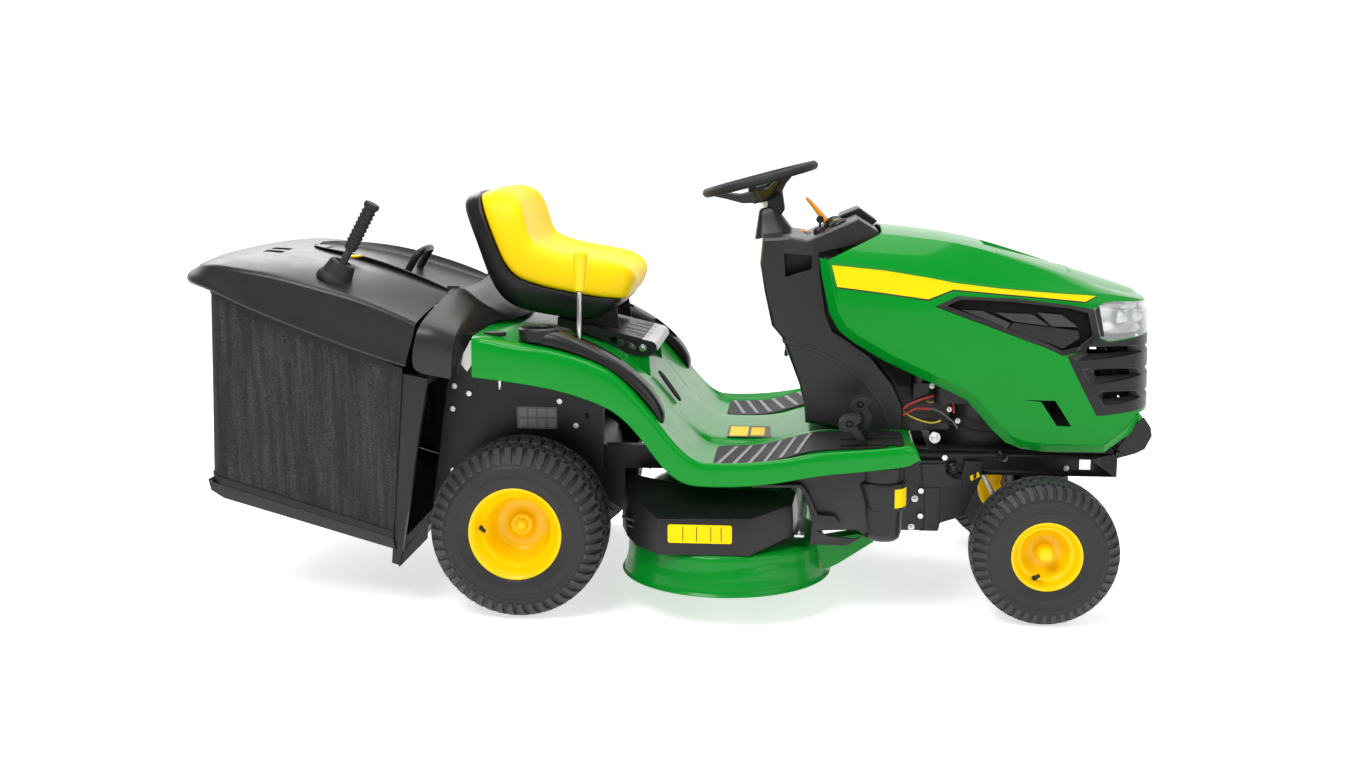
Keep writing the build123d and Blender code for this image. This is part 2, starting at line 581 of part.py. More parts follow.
def make_seat():
    cushion = side_prism(SEAT_LOWER + SEAT_TOP, -SEAT_HALF, SEAT_HALF)
    save("seat_cushion", cushion)
    pan = side_prism(SEAT_LOWER + PAN_LOWER, -SEAT_HALF + 4, SEAT_HALF - 4)
    pan -= side_prism([(-20, 700), (-20, 784), (150, 766), (150, 700)], -150, 150)
    px, pz = SEAT_PIVOT
    lug_side = [(120, 730), (215, 752), (px + 14, pz + 10), (px + 14, pz - 12), (px - 14, pz - 12), (160, 712)]
    lug = side_prism(lug_side, 138, 143)
    lug -= rod((px, 120, pz), (px, 160, pz), 8 + RUNNING_GAP)
    lug -= side_prism(SEAT_LOWER + PAN_LOWER, 0, 300)
    save("seat_pan", group(pan + lug + mirrored(lug)))
    bracket_side = [(196, 664), (330, 672), (352, 640), (330, 585), (300, 600), (262, 628), (205, 658)]
    side = side_prism(bracket_side, 147, 152)
    side -= side_prism(strip(FENDER_TOP, SHEET), 100, 200)
    bridge = block((200, 222), (-147, 147), (659, 664))
    pin = rod((px, -154, pz), (px, 154, pz), 8)
    save("seat_bracket", group(both(side - pin), bridge, pin))


# ---------------------------------------------------------------- mower deck
def chambers(radius, z_low, z_high):
    """Two joined round chambers seen from above, with a straight waist between them."""
    shape = rod((SPINDLE_X, SPINDLE_Y, z_low), (SPINDLE_X, SPINDLE_Y, z_high), radius)
    shape += rod((SPINDLE_X, -SPINDLE_Y, z_low), (SPINDLE_X, -SPINDLE_Y, z_high), radius)
    waist = radius - 42
    return shape + block((SPINDLE_X - waist, SPINDLE_X + waist), (-SPINDLE_Y, SPINDLE_Y), (z_low, z_high))


def make_deck():
    wall = 3.0
    shell = chambers(CHAMBER_R, DECK_LIP_Z + 6, DECK_TOP_Z) + chambers(LIP_R, DECK_LIP_Z, DECK_LIP_Z + 6)
    shell -= chambers(CHAMBER_R - wall, DECK_LIP_Z - 10, DECK_TOP_Z - wall)
    for sign in (-1, 1):
        y = sign * SPINDLE_Y
        shell += rod((SPINDLE_X, y, 150), (SPINDLE_X, y, 205), 34)
        shell -= rod((SPINDLE_X, y, 120), (SPINDLE_X, y, 240), 12 + RUNNING_GAP)
    shell -= block((200, 330), (-110, 110), (110, DECK_TOP_Z - wall))
    save("deck_shell", shell)
    cover_line = [
        (271, 214), (294, 262), (345, 274), (580, 279), (683, 300), (690, 240), (686, 231), (581, 194),
        (353, 192), (300, 196),
    ]
    cover = side_prism(cover_line, 330, 500) & plan_prism(
        [(290, 500), (600, 500), (700, 420), (700, 330), (240, 330), (250, 420)], 150, 400
    )
    cover -= side_prism([(290, 190), (300, 252), (345, 264), (580, 269), (673, 288), (676, 190)], 300, 490)
    save("deck_covers", both(cover))
    pulley_z = (212, 230)
    for side, sign in (("left", 1), ("right", -1)):
        y = sign * SPINDLE_Y
        spindle = rod((SPINDLE_X, y, 104), (SPINDLE_X, y, 238), 12)
        spindle += rod((SPINDLE_X, y, pulley_z[0]), (SPINDLE_X, y, pulley_z[1]), 58)
        blade = block((SPINDLE_X - 30, SPINDLE_X + 30), (y - BLADE_R + 6, y + BLADE_R - 6), (108, 113))
        for end in (-1, 1):
            wing_x = SPINDLE_X - 26 * end * sign
            wing_y = y + end * (BLADE_R - 50)
            blade += block((wing_x - 4, wing_x + 4), (wing_y - 35, wing_y + 35), (108, 128))
        nut = Pos(SPINDLE_X, y, 96) * extrude(RegularPolygon(15, 6), amount=8)
        save(f"blade_{side}", group(spindle - blade, blade, nut))
    loop = SlotCenterToCenter(2 * SPINDLE_Y, 2 * 62) - SlotCenterToCenter(2 * SPINDLE_Y, 2 * (58 + AIR_GAP))
    belt = Pos(SPINDLE_X, 0, 215) * Rot(0, 0, 90) * extrude(loop, amount=12)
    save("spindle_belt", belt)


# ---------------------------------------------------------------- collector
LID_STATIONS = [
    (-912, 190, 836, 842, 120, 850, 856),
    (-880, 300, 822, 846, 200, 866, 874),
    (-830, 392, 808, 852, 230, 884, 892),
    (-775, 436, 790, 866, 240, 892, 900),
    (-630, LID_HALF, 762, 862, 240, 890, 902),
    (-515, LID_HALF, 714, 838, 240, 880, 892),
    (-397, 446, 672, 806, 240, 858, 876),
    (-309, 444, 644, 772, 240, 834, 853),
    (-212, 440, 606, 742, 240, 792, 806),
]
LID_SIDE = [
    (-930, 836), (-905, 920), (-300, 920), (-214, 812), (-217, 800), (-262, 741), (-290, 628), (-422, 682),
    (-569, 736), (-720, 805), (-775, 832),
]
LEVER_DIR = Vector(0.483, 0, 0.8756).normalized()
LEVER_FOOT = Vector(-462, -360, 848)


def make_lid():
    skin = arch_shell(LID_STATIONS, 4) & side_prism(LID_SIDE, -480, 480)
    skin -= block((-260, -190), (-100, 100), (600, 786))
    boot = cone(tuple(LEVER_FOOT - LEVER_DIR * 22), tuple(LEVER_FOOT + LEVER_DIR * 14), 42, 17)
    boot -= rod(tuple(LEVER_FOOT - LEVER_DIR * 80), tuple(LEVER_FOOT + LEVER_DIR * 80), 9 + RUNNING_GAP)
    skin -= rod(tuple(LEVER_FOOT - LEVER_DIR * 80), tuple(LEVER_FOOT + LEVER_DIR * 80), 9 + RUNNING_GAP)
    handle_side = [
        (-362, 840), (-362, 868), (-332, 886), (-322, 902), (-298, 902), (-286, 840), (-306, 840), (-312, 876),
        (-338, 866), (-344, 840),
    ]
    handle = side_prism(handle_side, 34, 58)
    handle += mirrored(handle)
    bar = block((-324, -298), (-58, 58), (886, 902))
    save("collector_lid", skin + boot + (handle + bar - arch_loft(LID_STATIONS)))


BAG_SIDE = [
    (-722, 800), (-775, 826), (-794, 331), (-322, 192), (-290, 600), (-284, 626), (-422, 678), (-569, 732),
]


def make_collector():
    sides = side_prism(BAG_SIDE, BAG_HALF - 3, BAG_HALF)
    rear = side_prism([(-775, 826), (-794, 331), (-790, 330), (-771, 822)], -BAG_HALF, BAG_HALF)
    bag = sides + mirrored(sides) + rear
    lid_clear = arch_shell(LID_STATIONS, 4) & side_prism(LID_SIDE, -480, 480)
    save("collector_bag", bag - lid_clear)
    tray_line = [(-797, 335), (-790, 306), (-758, 286), (-318, 162), (-322, 191), (-794, 330)]
    tray = side_prism(tray_line, -BAG_HALF - 4, BAG_HALF + 4)
    hollow = side_prism([(-790, 340), (-784, 311), (-756, 291), (-300, 162), (-300, 340)], -BAG_HALF, BAG_HALF)
    save("collector_tray", tray - hollow)
    post = side_prism([(-286, 612), (-224, 600), (-309, 118), (-330, 124)], 398, 416)
    post -= side_prism([(-322, 195), (-316, 162), (-340, 160), (-350, 200)], 300, 500)
    gusset = side_prism([(-236, 256), (-238, 188), (-312, 112), (-322, 126), (-262, 200)], 404, 410)
    top_bar = side_prism([(-262, 600), (-232, 600), (-236, 576), (-266, 580)], -398, 398)
    bottom_bar = side_prism([(-330, 152), (-302, 152), (-306, 128), (-330, 128)], -398, 398)
    px, pz = COLLECTOR_PIVOT
    lug_side = [(-262, 600), (-232, 600), (px + 14, pz - 12), (px + 8, pz + 12), (px - 14, pz + 8)]
    lug = side_prism(lug_side, *LUG_Y)
    lug -= rod((px, 200, pz), (px, 300, pz), 8 + RUNNING_GAP)
    frame = top_bar + bottom_bar
    for piece in (post + gusset, lug):
        frame += piece + mirrored(piece)
    save("collector_frame", frame - lid_clear)
    rod_low = LEVER_FOOT - LEVER_DIR * 90
    rod_high = LEVER_FOOT + LEVER_DIR * 200
    grip_low = LEVER_FOOT + LEVER_DIR * 76
    stem = rod(tuple(rod_low), tuple(rod_high), 9)
    grip = rod(tuple(grip_low), tuple(rod_high + LEVER_DIR * 6), 15) - stem
    save("dump_lever", group(stem, grip))


SHROUD_STATIONS = [
    (-262, 440, 616, 742, 240, 790, 803),
    (-200, 440, 616, 736, 240, 786, 800),
    (-150, 426, 640, 716, 240, 770, 786),
    (-104, 330, 700, 714, 235, 750, 754),
    (-62, 262, 708, 712, 230, 734, 737),
]


def make_shroud():
    skin = arch_shell(SHROUD_STATIONS, 4)
    skin &= side_prism([(-262, 622), (-240, 735), (-190, 796), (-186, 830), (0, 830), (0, 600)], -480, 480)
    px, pz = COLLECTOR_PIVOT
    lug_gap = block((px - 40, px + 30), (228, 256), (700, 830))
    skin -= lug_gap + mirrored(lug_gap)
    skin -= side_prism(strip(FENDER_TOP, SHEET), -500, 500)
    skirt_gap = block((-110, 0), (470, 500), (600, 720))
    skin -= skirt_gap + mirrored(skirt_gap)
    save("collector_shroud", skin)


def make_chute():
    """A square duct from the back of the mower deck up to the mouth of the collector."""
    def duct(grow):
        sections = []
        for x, z_low, z_high in ((236, 200, 330), (60, 320, 478), (-222, 372, 558)):
            half, low, high = 144 + grow, z_low - grow, z_high + grow
            outline = [(-half, low), (half, low), (half, high), (-half, high)]
            sections.append(Pos(x, 0, 0) * (Plane.YZ * make_face(Polyline(*outline, close=True))))
        return loft(sections, ruled=True)

    save("collector_chute", duct(3) - duct(0))


def main():
    for make in (
        make_wheels, make_frame, make_rear_frame, make_transaxle, make_bolts, make_front_axle, make_steering,
        make_engine, make_wiring, make_hood, make_fender, make_fender_consoles, make_side_panels, make_console,
        make_controls, make_seat, make_deck, make_lid, make_collector, make_shroud, make_chute,
    ):
        make()


main()
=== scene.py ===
import math

import bmesh
import bpy
from mathutils import Matrix, Vector
from mathutils.bvhtree import BVHTree


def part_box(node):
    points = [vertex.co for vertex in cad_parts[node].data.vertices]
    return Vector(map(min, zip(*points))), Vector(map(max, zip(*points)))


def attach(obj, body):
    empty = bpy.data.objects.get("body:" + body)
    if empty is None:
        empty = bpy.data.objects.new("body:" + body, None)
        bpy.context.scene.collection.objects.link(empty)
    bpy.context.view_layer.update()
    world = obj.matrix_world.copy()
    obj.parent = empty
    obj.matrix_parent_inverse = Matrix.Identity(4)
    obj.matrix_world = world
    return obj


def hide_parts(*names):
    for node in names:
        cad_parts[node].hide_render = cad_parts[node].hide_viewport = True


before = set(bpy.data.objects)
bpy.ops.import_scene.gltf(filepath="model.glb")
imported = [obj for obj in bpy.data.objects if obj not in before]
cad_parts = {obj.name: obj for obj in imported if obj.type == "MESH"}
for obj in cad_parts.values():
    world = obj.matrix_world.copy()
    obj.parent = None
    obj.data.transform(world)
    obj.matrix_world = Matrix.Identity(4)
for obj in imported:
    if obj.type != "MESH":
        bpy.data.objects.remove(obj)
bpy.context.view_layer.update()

# Lengths below are millimetres: X forward from the rear axle, Y to the machine's left, Z above the ground.
MM = 0.001
SIDES = (("left", 1), ("right", -1))
rear_low, rear_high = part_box("rear_tyre_left")
front_low, front_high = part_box("front_tyre_left")
AXLE_X = (rear_low.x + rear_high.x) / 2
WHEELBASE = (front_low.x + front_high.x) / 2 / MM - AXLE_X / MM


def at(x, y, z):
    """A point of the scene from millimetres in the machine's own measures."""
    return Vector((AXLE_X + x * MM, y * MM, z * MM))


def band_of(sign, near, far):
    """The lower and upper Y of a stretch between two distances from the middle, on one side."""
    return sorted((sign * near, sign * far))


def between(value, stations, levels):
    """The level at a value, in straight runs between rising stations."""
    if value <= stations[0]:
        return levels[0]
    for k in range(1, len(stations)):
        if value <= stations[k]:
            share = (value - stations[k - 1]) / (stations[k] - stations[k - 1])
            return levels[k - 1] + share * (levels[k] - levels[k - 1])
    return levels[-1]


def both_sides(half):
    """A row of points over both sides, from its half that ends on the machine's middle."""
    return half + [Vector((q.x, -q.y, q.z)) for q in reversed(half[:-1])]


def mix(a, b, share):
    """Part of the way from one number or point to another."""
    if isinstance(a, (int, float)):
        return a + (b - a) * share
    return tuple(p + (q - p) * share for p, q in zip(a, b))


REAR_TYRE_R, FRONT_TYRE_R = 223.5, 182.5
FORWARD_PEDAL_Y, REVERSE_PEDAL_Y, BRAKE_PEDAL_Y = -405, -325, 370
PEDAL_YS = (FORWARD_PEDAL_Y, REVERSE_PEDAL_Y, BRAKE_PEDAL_Y)
CUP_X, CUP_Y = 58, -402
LEVER_X, LEVER_Y = 152, -400

# ---------------------------------------------------------------- mesh tools
def mesh_object(name, points, faces):
    """A new object from points in metres and faces."""
    mesh = bpy.data.meshes.new(name)
    mesh.from_pydata([tuple(p) for p in points], [], faces)
    obj = bpy.data.objects.new(name, mesh)
    bpy.context.scene.collection.objects.link(obj)
    return obj


def clean(obj, merge=0.02):
    """Joins points closer than merge, in millimetres, and turns every face outwards."""
    work = bmesh.new()
    work.from_mesh(obj.data)
    bmesh.ops.remove_doubles(work, verts=work.verts, dist=merge * MM)
    bmesh.ops.recalc_face_normals(work, faces=work.faces)
    work.to_mesh(obj.data)
    work.free()
    return obj


def modify(obj, kind, **settings):
    """Adds a modifier with these settings."""
    modifier = obj.modifiers.new(kind.lower(), kind)
    for key, value in settings.items():
        setattr(modifier, key, value)
    return obj


def settle(obj):
    """Applies the object's modifiers to its mesh."""
    graph = bpy.context.evaluated_depsgraph_get()
    mesh = bpy.data.meshes.new_from_object(obj.evaluated_get(graph))
    obj.modifiers.clear()
    obj.data = mesh
    return obj


def walled(obj, thickness, offset=0.0):
    """Gives a surface a wall's thickness, in millimetres."""
    modify(obj, "SOLIDIFY", thickness=thickness * MM, offset=offset)
    return settle(obj)


def thicken(obj, thickness, offset=0.0):
    """Turns a surface into a closed wall with its doubled points joined, in millimetres."""
    return clean(walled(obj, thickness, offset))


def smoothed(obj, levels=2):
    """Rounds a mesh by subdivision."""
    modify(obj, "SUBSURF", levels=levels, render_levels=levels)
    return settle(obj)


def duplicate(obj, name):
    """A copy with its own mesh."""
    copy = bpy.data.objects.new(name, obj.data.copy())
    bpy.context.scene.collection.objects.link(copy)
    return copy


def cut(obj, *cutters, operation="DIFFERENCE", folded=False):
    """Cuts the object by each cutter, then removes the cutters.

    folded is for a wall that touches itself.
    """
    clean(obj)
    for cutter in cutters:
        modify(obj, "BOOLEAN", object=cutter, operation=operation, solver="EXACT", use_self=folded)
        settle(obj)
        bpy.data.objects.remove(cutter)
    return obj


def join(obj, *others):
    """Moves the faces of the others into obj."""
    work = bmesh.new()
    work.from_mesh(obj.data)
    for other in others:
        work.from_mesh(other.data)
        bpy.data.objects.remove(other)
    work.to_mesh(obj.data)
    work.free()
    return obj


def gathered(name, pieces):
    """One piece of this name from several."""
    whole = join(pieces[0], *pieces[1:])
    whole.name = name
    return whole


def mirrored(obj):
    """Adds the same faces on the machine's other side."""
    other = duplicate(obj, obj.name + "_other")
    other.data.transform(Matrix.Scale(-1, 4, (0, 1, 0)))
    other.data.flip_normals()
    return join(obj, other)


def crease(obj, weights):
    """Keeps edges sharp under subdivision; weights gives each marked point's line and weight."""
    work = bmesh.new()
    work.from_mesh(obj.data)
    layer = work.edges.layers.float.new("crease_edge")
    for edge in work.edges:
        a, b = (weights.get(v.index) for v in edge.verts)
        if a and b and a[0] == b[0]:
            edge[layer] = min(a[1], b[1])
    work.to_mesh(obj.data)
    work.free()
    return obj


def skin(name, rows, closed=False, caps=False, creased=None):
    """A surface through rows of points.  creased maps a row's number to its crease weight."""
    count = len(rows[0])
    faces = []
    for r in range(len(rows) - 1):
        for c in range(count if closed else count - 1):
            d = (c + 1) % count
            faces.append((r * count + c, r * count + d, (r + 1) * count + d, (r + 1) * count + c))
    if caps:
        last = (len(rows) - 1) * count
        faces += [tuple(range(count)), tuple(range(last, last + count))]
    obj = mesh_object(name, [p for row in rows for p in row], faces)
    if creased:
        weights = {r * count + c: (r, w) for r, w in creased.items() for c in range(count)}
        crease(obj, weights)
    return clean(obj)


def prism(name, outline, low, high, axis="y"):
    """Extrudes an outline between two planes: (x, z) along y, (x, y) along z or (y, z) along x."""
    place = {
        "x": lambda a, b, level: at(level, a, b),
        "y": lambda a, b, level: at(a, level, b),
        "z": lambda a, b, level: at(a, b, level),
    }[axis]
    rows = [[place(a, b, level) for a, b in outline] for level in (low, high)]
    return skin(name, rows, closed=True, caps=True)


def box(name, x, y, z):
    """A block between two values on each axis, in millimetres."""
    return prism(name, [(x[0], z[0]), (x[1], z[0]), (x[1], z[1]), (x[0], z[1])], *y)


def turned(name, profile, base, axis, steps=64, looped=True):
    """Turns (radius, height) points about an axis through base."""
    direction = Vector(axis).normalized()
    side = Vector((1, 0, 0)) if abs(direction.x) < 0.9 else Vector((0, 0, 1))
    side = (side - direction * side.dot(direction)).normalized()
    other = direction.cross(side)
    rows = []
    for radius, height in profile + (profile[:1] if looped else []):
        ring = []
        for k in range(steps):
            angle = 2 * math.pi * k / steps
            spoke = side * math.cos(angle) + other * math.sin(angle)
            ring.append(base + direction * height * MM + spoke * radius * MM)
        rows.append(ring)
    return skin(name, rows, closed=True)


def rod(name, start, end, radius, tip=None, steps=24, edge=1.0):
    """A round bar between two points, with its ends broken by edge; tip is the radius at the end."""
    run = (end - start).length / MM
    tip = radius if tip is None else tip
    profile = [(0, 0), (radius - edge, 0), (radius, edge), (tip, run - edge), (tip - edge, run), (0, run)]
    return turned(name, profile, start, end - start, steps, looped=False)


def tube(name, points, radius, cyclic=False, straight=False):
    """A round tube along a smooth curve through given points."""
    curve = bpy.data.curves.new(name, "CURVE")
    curve.dimensions = "3D"
    curve.bevel_depth = radius * MM
    curve.bevel_resolution = 4
    curve.resolution_u = 10
    curve.use_fill_caps = True
    spline = curve.splines.new("POLY" if straight else "NURBS")
    spline.points.add(len(points) - 1)
    for control, point in zip(spline.points, points):
        control.co = (*point, 1)
    spline.use_cyclic_u = cyclic
    if not straight:
        spline.order_u = 3
        spline.use_endpoint_u = not cyclic
    holder = bpy.data.objects.new(name + "_line", curve)
    bpy.context.scene.collection.objects.link(holder)
    graph = bpy.context.evaluated_depsgraph_get()
    mesh = bpy.data.meshes.new_from_object(holder.evaluated_get(graph))
    bpy.data.objects.remove(holder)
    obj = bpy.data.objects.new(name, mesh)
    bpy.context.scene.collection.objects.link(obj)
    return obj


def dress(obj, material, body, slot, replaces=(), bevel=0.0, segments=2, sharp=50, smooth=True):
    """Finishes a piece: broken edges, shading, material and body; the slot is not used."""
    obj.data.materials.clear()
    obj.data.materials.append(material)
    if bevel:
        modify(
            obj, "BEVEL", width=bevel * MM, segments=segments, limit_method="ANGLE",
            angle_limit=math.radians(28), use_clamp_overlap=True,
        )
        settle(obj)
    if smooth:
        obj.data.shade_smooth()
        obj.data.set_sharp_from_angle(angle=math.radians(sharp))
    if bevel:
        modify(obj, "WEIGHTED_NORMAL", keep_sharp=True)
    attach(obj, body)
    if replaces:
        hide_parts(*replaces)
    return obj


def refine(node, material, bevel=1.5):
    """Gives a kept CAD node its material, and breaks its edges without changing its own mesh."""
    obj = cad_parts[node]
    obj.data.materials.clear()
    obj.data.materials.append(material)
    if "custom_normal" in obj.data.attributes:
        obj.data.attributes.remove(obj.data.attributes["custom_normal"])
    obj.data.shade_smooth()
    modify(obj, "WELD", merge_threshold=0.02 * MM)
    if bevel:
        modify(
            obj, "BEVEL", width=bevel * MM, segments=2, limit_method="ANGLE",
            angle_limit=math.radians(32), use_clamp_overlap=True,
        )
    modify(obj, "WEIGHTED_NORMAL", keep_sharp=True)
    return obj


# ---------------------------------------------------------------- materials
def shader(
    name, colour, roughness, metallic=0.0, grain=0.0, grain_scale=900.0, mottling=0.06, spread=0.05,
    coat=0.0, specular=0.5, wave=0.0, wave_scale=9.0, wear_and_sheen=0.0,
):
    """A moulded, painted or metal surface: mottled colour, uneven gloss, fine grain and slow waviness."""
    material = bpy.data.materials.new(name)
    material.use_nodes = True
    nodes, links = material.node_tree.nodes, material.node_tree.links
    surface = nodes["Principled BSDF"]
    surface.inputs["Metallic"].default_value = metallic
    surface.inputs["Specular IOR Level"].default_value = specular
    surface.inputs["Coat Weight"].default_value = coat
    surface.inputs["Coat Roughness"].default_value = 0.06
    place = nodes.new("ShaderNodeTexCoord")

    def noise(scale, detail):
        made = nodes.new("ShaderNodeTexNoise")
        made.inputs["Scale"].default_value = scale
        made.inputs["Detail"].default_value = detail
        links.new(place.outputs["Object"], made.inputs["Vector"])
        return made

    blotch = noise(5.0, 4.0)
    ramp = nodes.new("ShaderNodeValToRGB")
    ramp.color_ramp.elements[0].position = 0.3
    ramp.color_ramp.elements[1].position = 0.7
    ramp.color_ramp.elements[0].color = (*[c * (1 - mottling) for c in colour], 1)
    ramp.color_ramp.elements[1].color = (*[min(1.0, c * (1 + mottling)) for c in colour], 1)
    links.new(blotch.outputs["Fac"], ramp.inputs["Fac"])
    tint = ramp.outputs["Color"]
    # Lighter colour on sharp convex edges, found by pointiness: partly real rubbed wear, partly a painted
    # edge highlight.
    if wear_and_sheen:
        edge = nodes.new("ShaderNodeNewGeometry")
        worn_and_sheen = nodes.new("ShaderNodeValToRGB")
        worn_and_sheen.color_ramp.elements[0].position = 0.53
        worn_and_sheen.color_ramp.elements[1].position = 0.62
        links.new(edge.outputs["Pointiness"], worn_and_sheen.inputs["Fac"])
        blend = nodes.new("ShaderNodeMix")
        blend.data_type = "RGBA"
        share = nodes.new("ShaderNodeMath")
        share.operation = "MULTIPLY"
        share.inputs[1].default_value = wear_and_sheen
        links.new(worn_and_sheen.outputs["Color"], share.inputs[0])
        links.new(share.outputs["Value"], blend.inputs["Factor"])
        links.new(tint, blend.inputs[6])
        blend.inputs[7].default_value = (*[min(1.0, c * 2.2 + 0.02) for c in colour], 1)
        tint = blend.outputs[2]
    links.new(tint, surface.inputs["Base Color"])
    gloss = nodes.new("ShaderNodeMapRange")
    gloss.inputs["To Min"].default_value = max(0.02, roughness - spread)
    gloss.inputs["To Max"].default_value = min(1.0, roughness + spread)
    links.new(noise(22.0, 3.0).outputs["Fac"], gloss.inputs["Value"])
    links.new(gloss.outputs["Result"], surface.inputs["Roughness"])
    normal = None
    for strength, scale, depth in ((grain, grain_scale, 0.0004), (wave, wave_scale, 0.004)):
        if strength:
            bump = nodes.new("ShaderNodeBump")
            bump.inputs["Strength"].default_value = strength
            bump.inputs["Distance"].default_value = depth
            links.new(noise(scale, 2.0).outputs["Fac"], bump.inputs["Height"])
            if normal:
                links.new(normal, bump.inputs["Normal"])
            normal = bump.outputs["Normal"]
    if normal:
        links.new(normal, surface.inputs["Normal"])
    return material


def cloth_shader(name, dark, light):
    """Coarse woven mesh with vertical streaks of dust."""
    material = shader(name, dark, 0.85, grain=0.3, grain_scale=700)
    nodes, links = material.node_tree.nodes, material.node_tree.links
    surface = nodes["Principled BSDF"]
    place = nodes.new("ShaderNodeTexCoord")
    stretch = nodes.new("ShaderNodeMapping")
    stretch.inputs["Scale"].default_value = (44, 44, 2.6)
    streaks = nodes.new("ShaderNodeTexNoise")
    streaks.inputs["Scale"].default_value = 1.6
    streaks.inputs["Detail"].default_value = 7.0
    links.new(place.outputs["Object"], stretch.inputs["Vector"])
    links.new(stretch.outputs["Vector"], streaks.inputs["Vector"])
    speck = nodes.new("ShaderNodeTexNoise")
    speck.inputs["Scale"].default_value = 320.0
    speck.inputs["Detail"].default_value = 1.0
    links.new(place.outputs["Object"], speck.inputs["Vector"])
    total = nodes.new("ShaderNodeMath")
    total.operation = "MULTIPLY"
    links.new(streaks.outputs["Fac"], total.inputs[0])
    links.new(speck.outputs["Fac"], total.inputs[1])
    ramp = nodes.new("ShaderNodeValToRGB")
    ramp.color_ramp.elements[0].position = 0.18
    ramp.color_ramp.elements[1].position = 0.46
    ramp.color_ramp.elements[0].color = (*dark, 1)
    ramp.color_ramp.elements[1].color = (*light, 1)
    links.new(total.outputs["Value"], ramp.inputs["Fac"])
    links.new(ramp.outputs["Color"], surface.inputs["Base Color"])
    weave = nodes.new("ShaderNodeTexMagic")
    weave.turbulence_depth = 1
    weave.inputs["Scale"].default_value = 260.0
    links.new(place.outputs["Object"], weave.inputs["Vector"])
    bump = nodes.new("ShaderNodeBump")
    bump.inputs["Strength"].default_value = 0.35
    bump.inputs["Distance"].default_value = 0.0006
    links.new(weave.outputs["Fac"], bump.inputs["Height"])
    links.new(bump.outputs["Normal"], surface.inputs["Normal"])
    return material


def lens_shader(name):
    """Clear moulded lamp plastic."""
    material = shader(name, (0.93, 0.94, 0.95), 0.06, mottling=0.01, spread=0.02, wave=0.15, wave_scale=30.0)
    surface = material.node_tree.nodes["Principled BSDF"]
    surface.inputs["Transmission Weight"].default_value = 0.85
    surface.inputs["IOR"].default_value = 1.45
    return material


GREEN = shader(
    "green_bodywork", (0.0, 0.238, 0.017), 0.24, specular=0.08, coat=0.26, wave=0.015, mottling=0.03,
)
GREEN_PAINT = shader("green_paint", (0.0, 0.215, 0.017), 0.30, specular=0.15, coat=0.2, grain=0.05, wear_and_sheen=0.12)
YELLOW_PAINT = shader("yellow_paint", (0.93, 0.60, 0.0), 0.30, specular=0.2, coat=0.2, mottling=0.03)
VINYL = shader(
    "yellow_vinyl", (0.95, 0.63, 0.0), 0.42, specular=0.18, grain=0.35, grain_scale=1100, mottling=0.03,
    wave=0.08,
)
YELLOW = shader("yellow_plastic", (0.93, 0.63, 0.01), 0.36, specular=0.25, grain=0.1, mottling=0.03)
ORANGE = shader("orange_plastic", (0.92, 0.33, 0.01), 0.38, grain=0.1)
BLACK = shader("black_plastic", (0.008, 0.008, 0.008), 0.34, specular=0.36, grain=0.3, wear_and_sheen=0.4, spread=0.07)
GREY = shader(
    "grey_plastic", (0.015, 0.015, 0.0155), 0.33, specular=0.40, grain=0.25, wear_and_sheen=0.3, spread=0.07,
    wave=0.06,
)
STEEL = shader("black_steel", (0.008, 0.008, 0.008), 0.36, specular=0.36, grain=0.12, wear_and_sheen=0.5)
ZINC = shader("zinc_steel", (0.62, 0.62, 0.60), 0.30, metallic=1.0, grain=0.1)
BRIGHT = shader("bright_steel", (0.55, 0.54, 0.52), 0.22, metallic=1.0, wave=0.1)
ALLOY = shader("alloy", (0.45, 0.45, 0.46), 0.45, metallic=1.0, grain=0.4)
CASTING = shader("dark_alloy", (0.05, 0.05, 0.05), 0.5, metallic=0.6, grain=0.4)
RUBBER = shader("black_rubber", (0.014, 0.014, 0.0145), 0.60, specular=0.35, grain=0.3)
TYRE = shader(
    "tyre_rubber", (0.019, 0.019, 0.0195), 0.52, specular=0.36, grain=0.35, grain_scale=500,
    mottling=0.18, wear_and_sheen=0.7,
)
BAG = cloth_shader("bag_cloth", (0.007, 0.007, 0.007), (0.046, 0.046, 0.047))
LENS = lens_shader("clear_lens")
REFLECTOR = shader("reflector", (0.88, 0.89, 0.90), 0.18, metallic=0.6, mottling=0.02)
# Pale grey standing in for light: a painted highlight and painted reflection on dark parts.
HIGHLIGHT_PALE = shader("painted_highlight_pale", (0.55, 0.54, 0.53), 0.5, grain=0.1)
LABEL = shader("label_yellow", (0.94, 0.64, 0.0), 0.4, specular=0.1, mottling=0.03)
PLATE = shader("label_grey", (0.16, 0.16, 0.16), 0.4, mottling=0.1)
# Black plastic lightened as a painted highlight on tilted facets and pocket walls.
HIGHLIGHT_GREY = shader("painted_highlight_grey", (0.034, 0.034, 0.034), 0.34, specular=0.5, grain=0.2, wear_and_sheen=0.3)
FIELD = shader("label_field", (0.27, 0.27, 0.27), 0.45, mottling=0.05)
BROWN = shader("label_brown", (0.10, 0.085, 0.05), 0.5)
STRIPE = shader("mat_stripe", (0.24, 0.24, 0.25), 0.55, grain=0.2)
RED_WIRE = shader("red_wire", (0.45, 0.01, 0.012), 0.35)
YELLOW_WIRE = shader("yellow_wire", (0.60, 0.45, 0.02), 0.35)
GREY_WIRE = shader("grey_wire", (0.12, 0.12, 0.12), 0.4)
# Near-black painted shade: fillers, linings and sheets set in gaps, vents and recesses where only shade
# shows.
SHADE_BLACK = shader("painted_shade_black", (0.003, 0.003, 0.003), 0.8, specular=0.2)


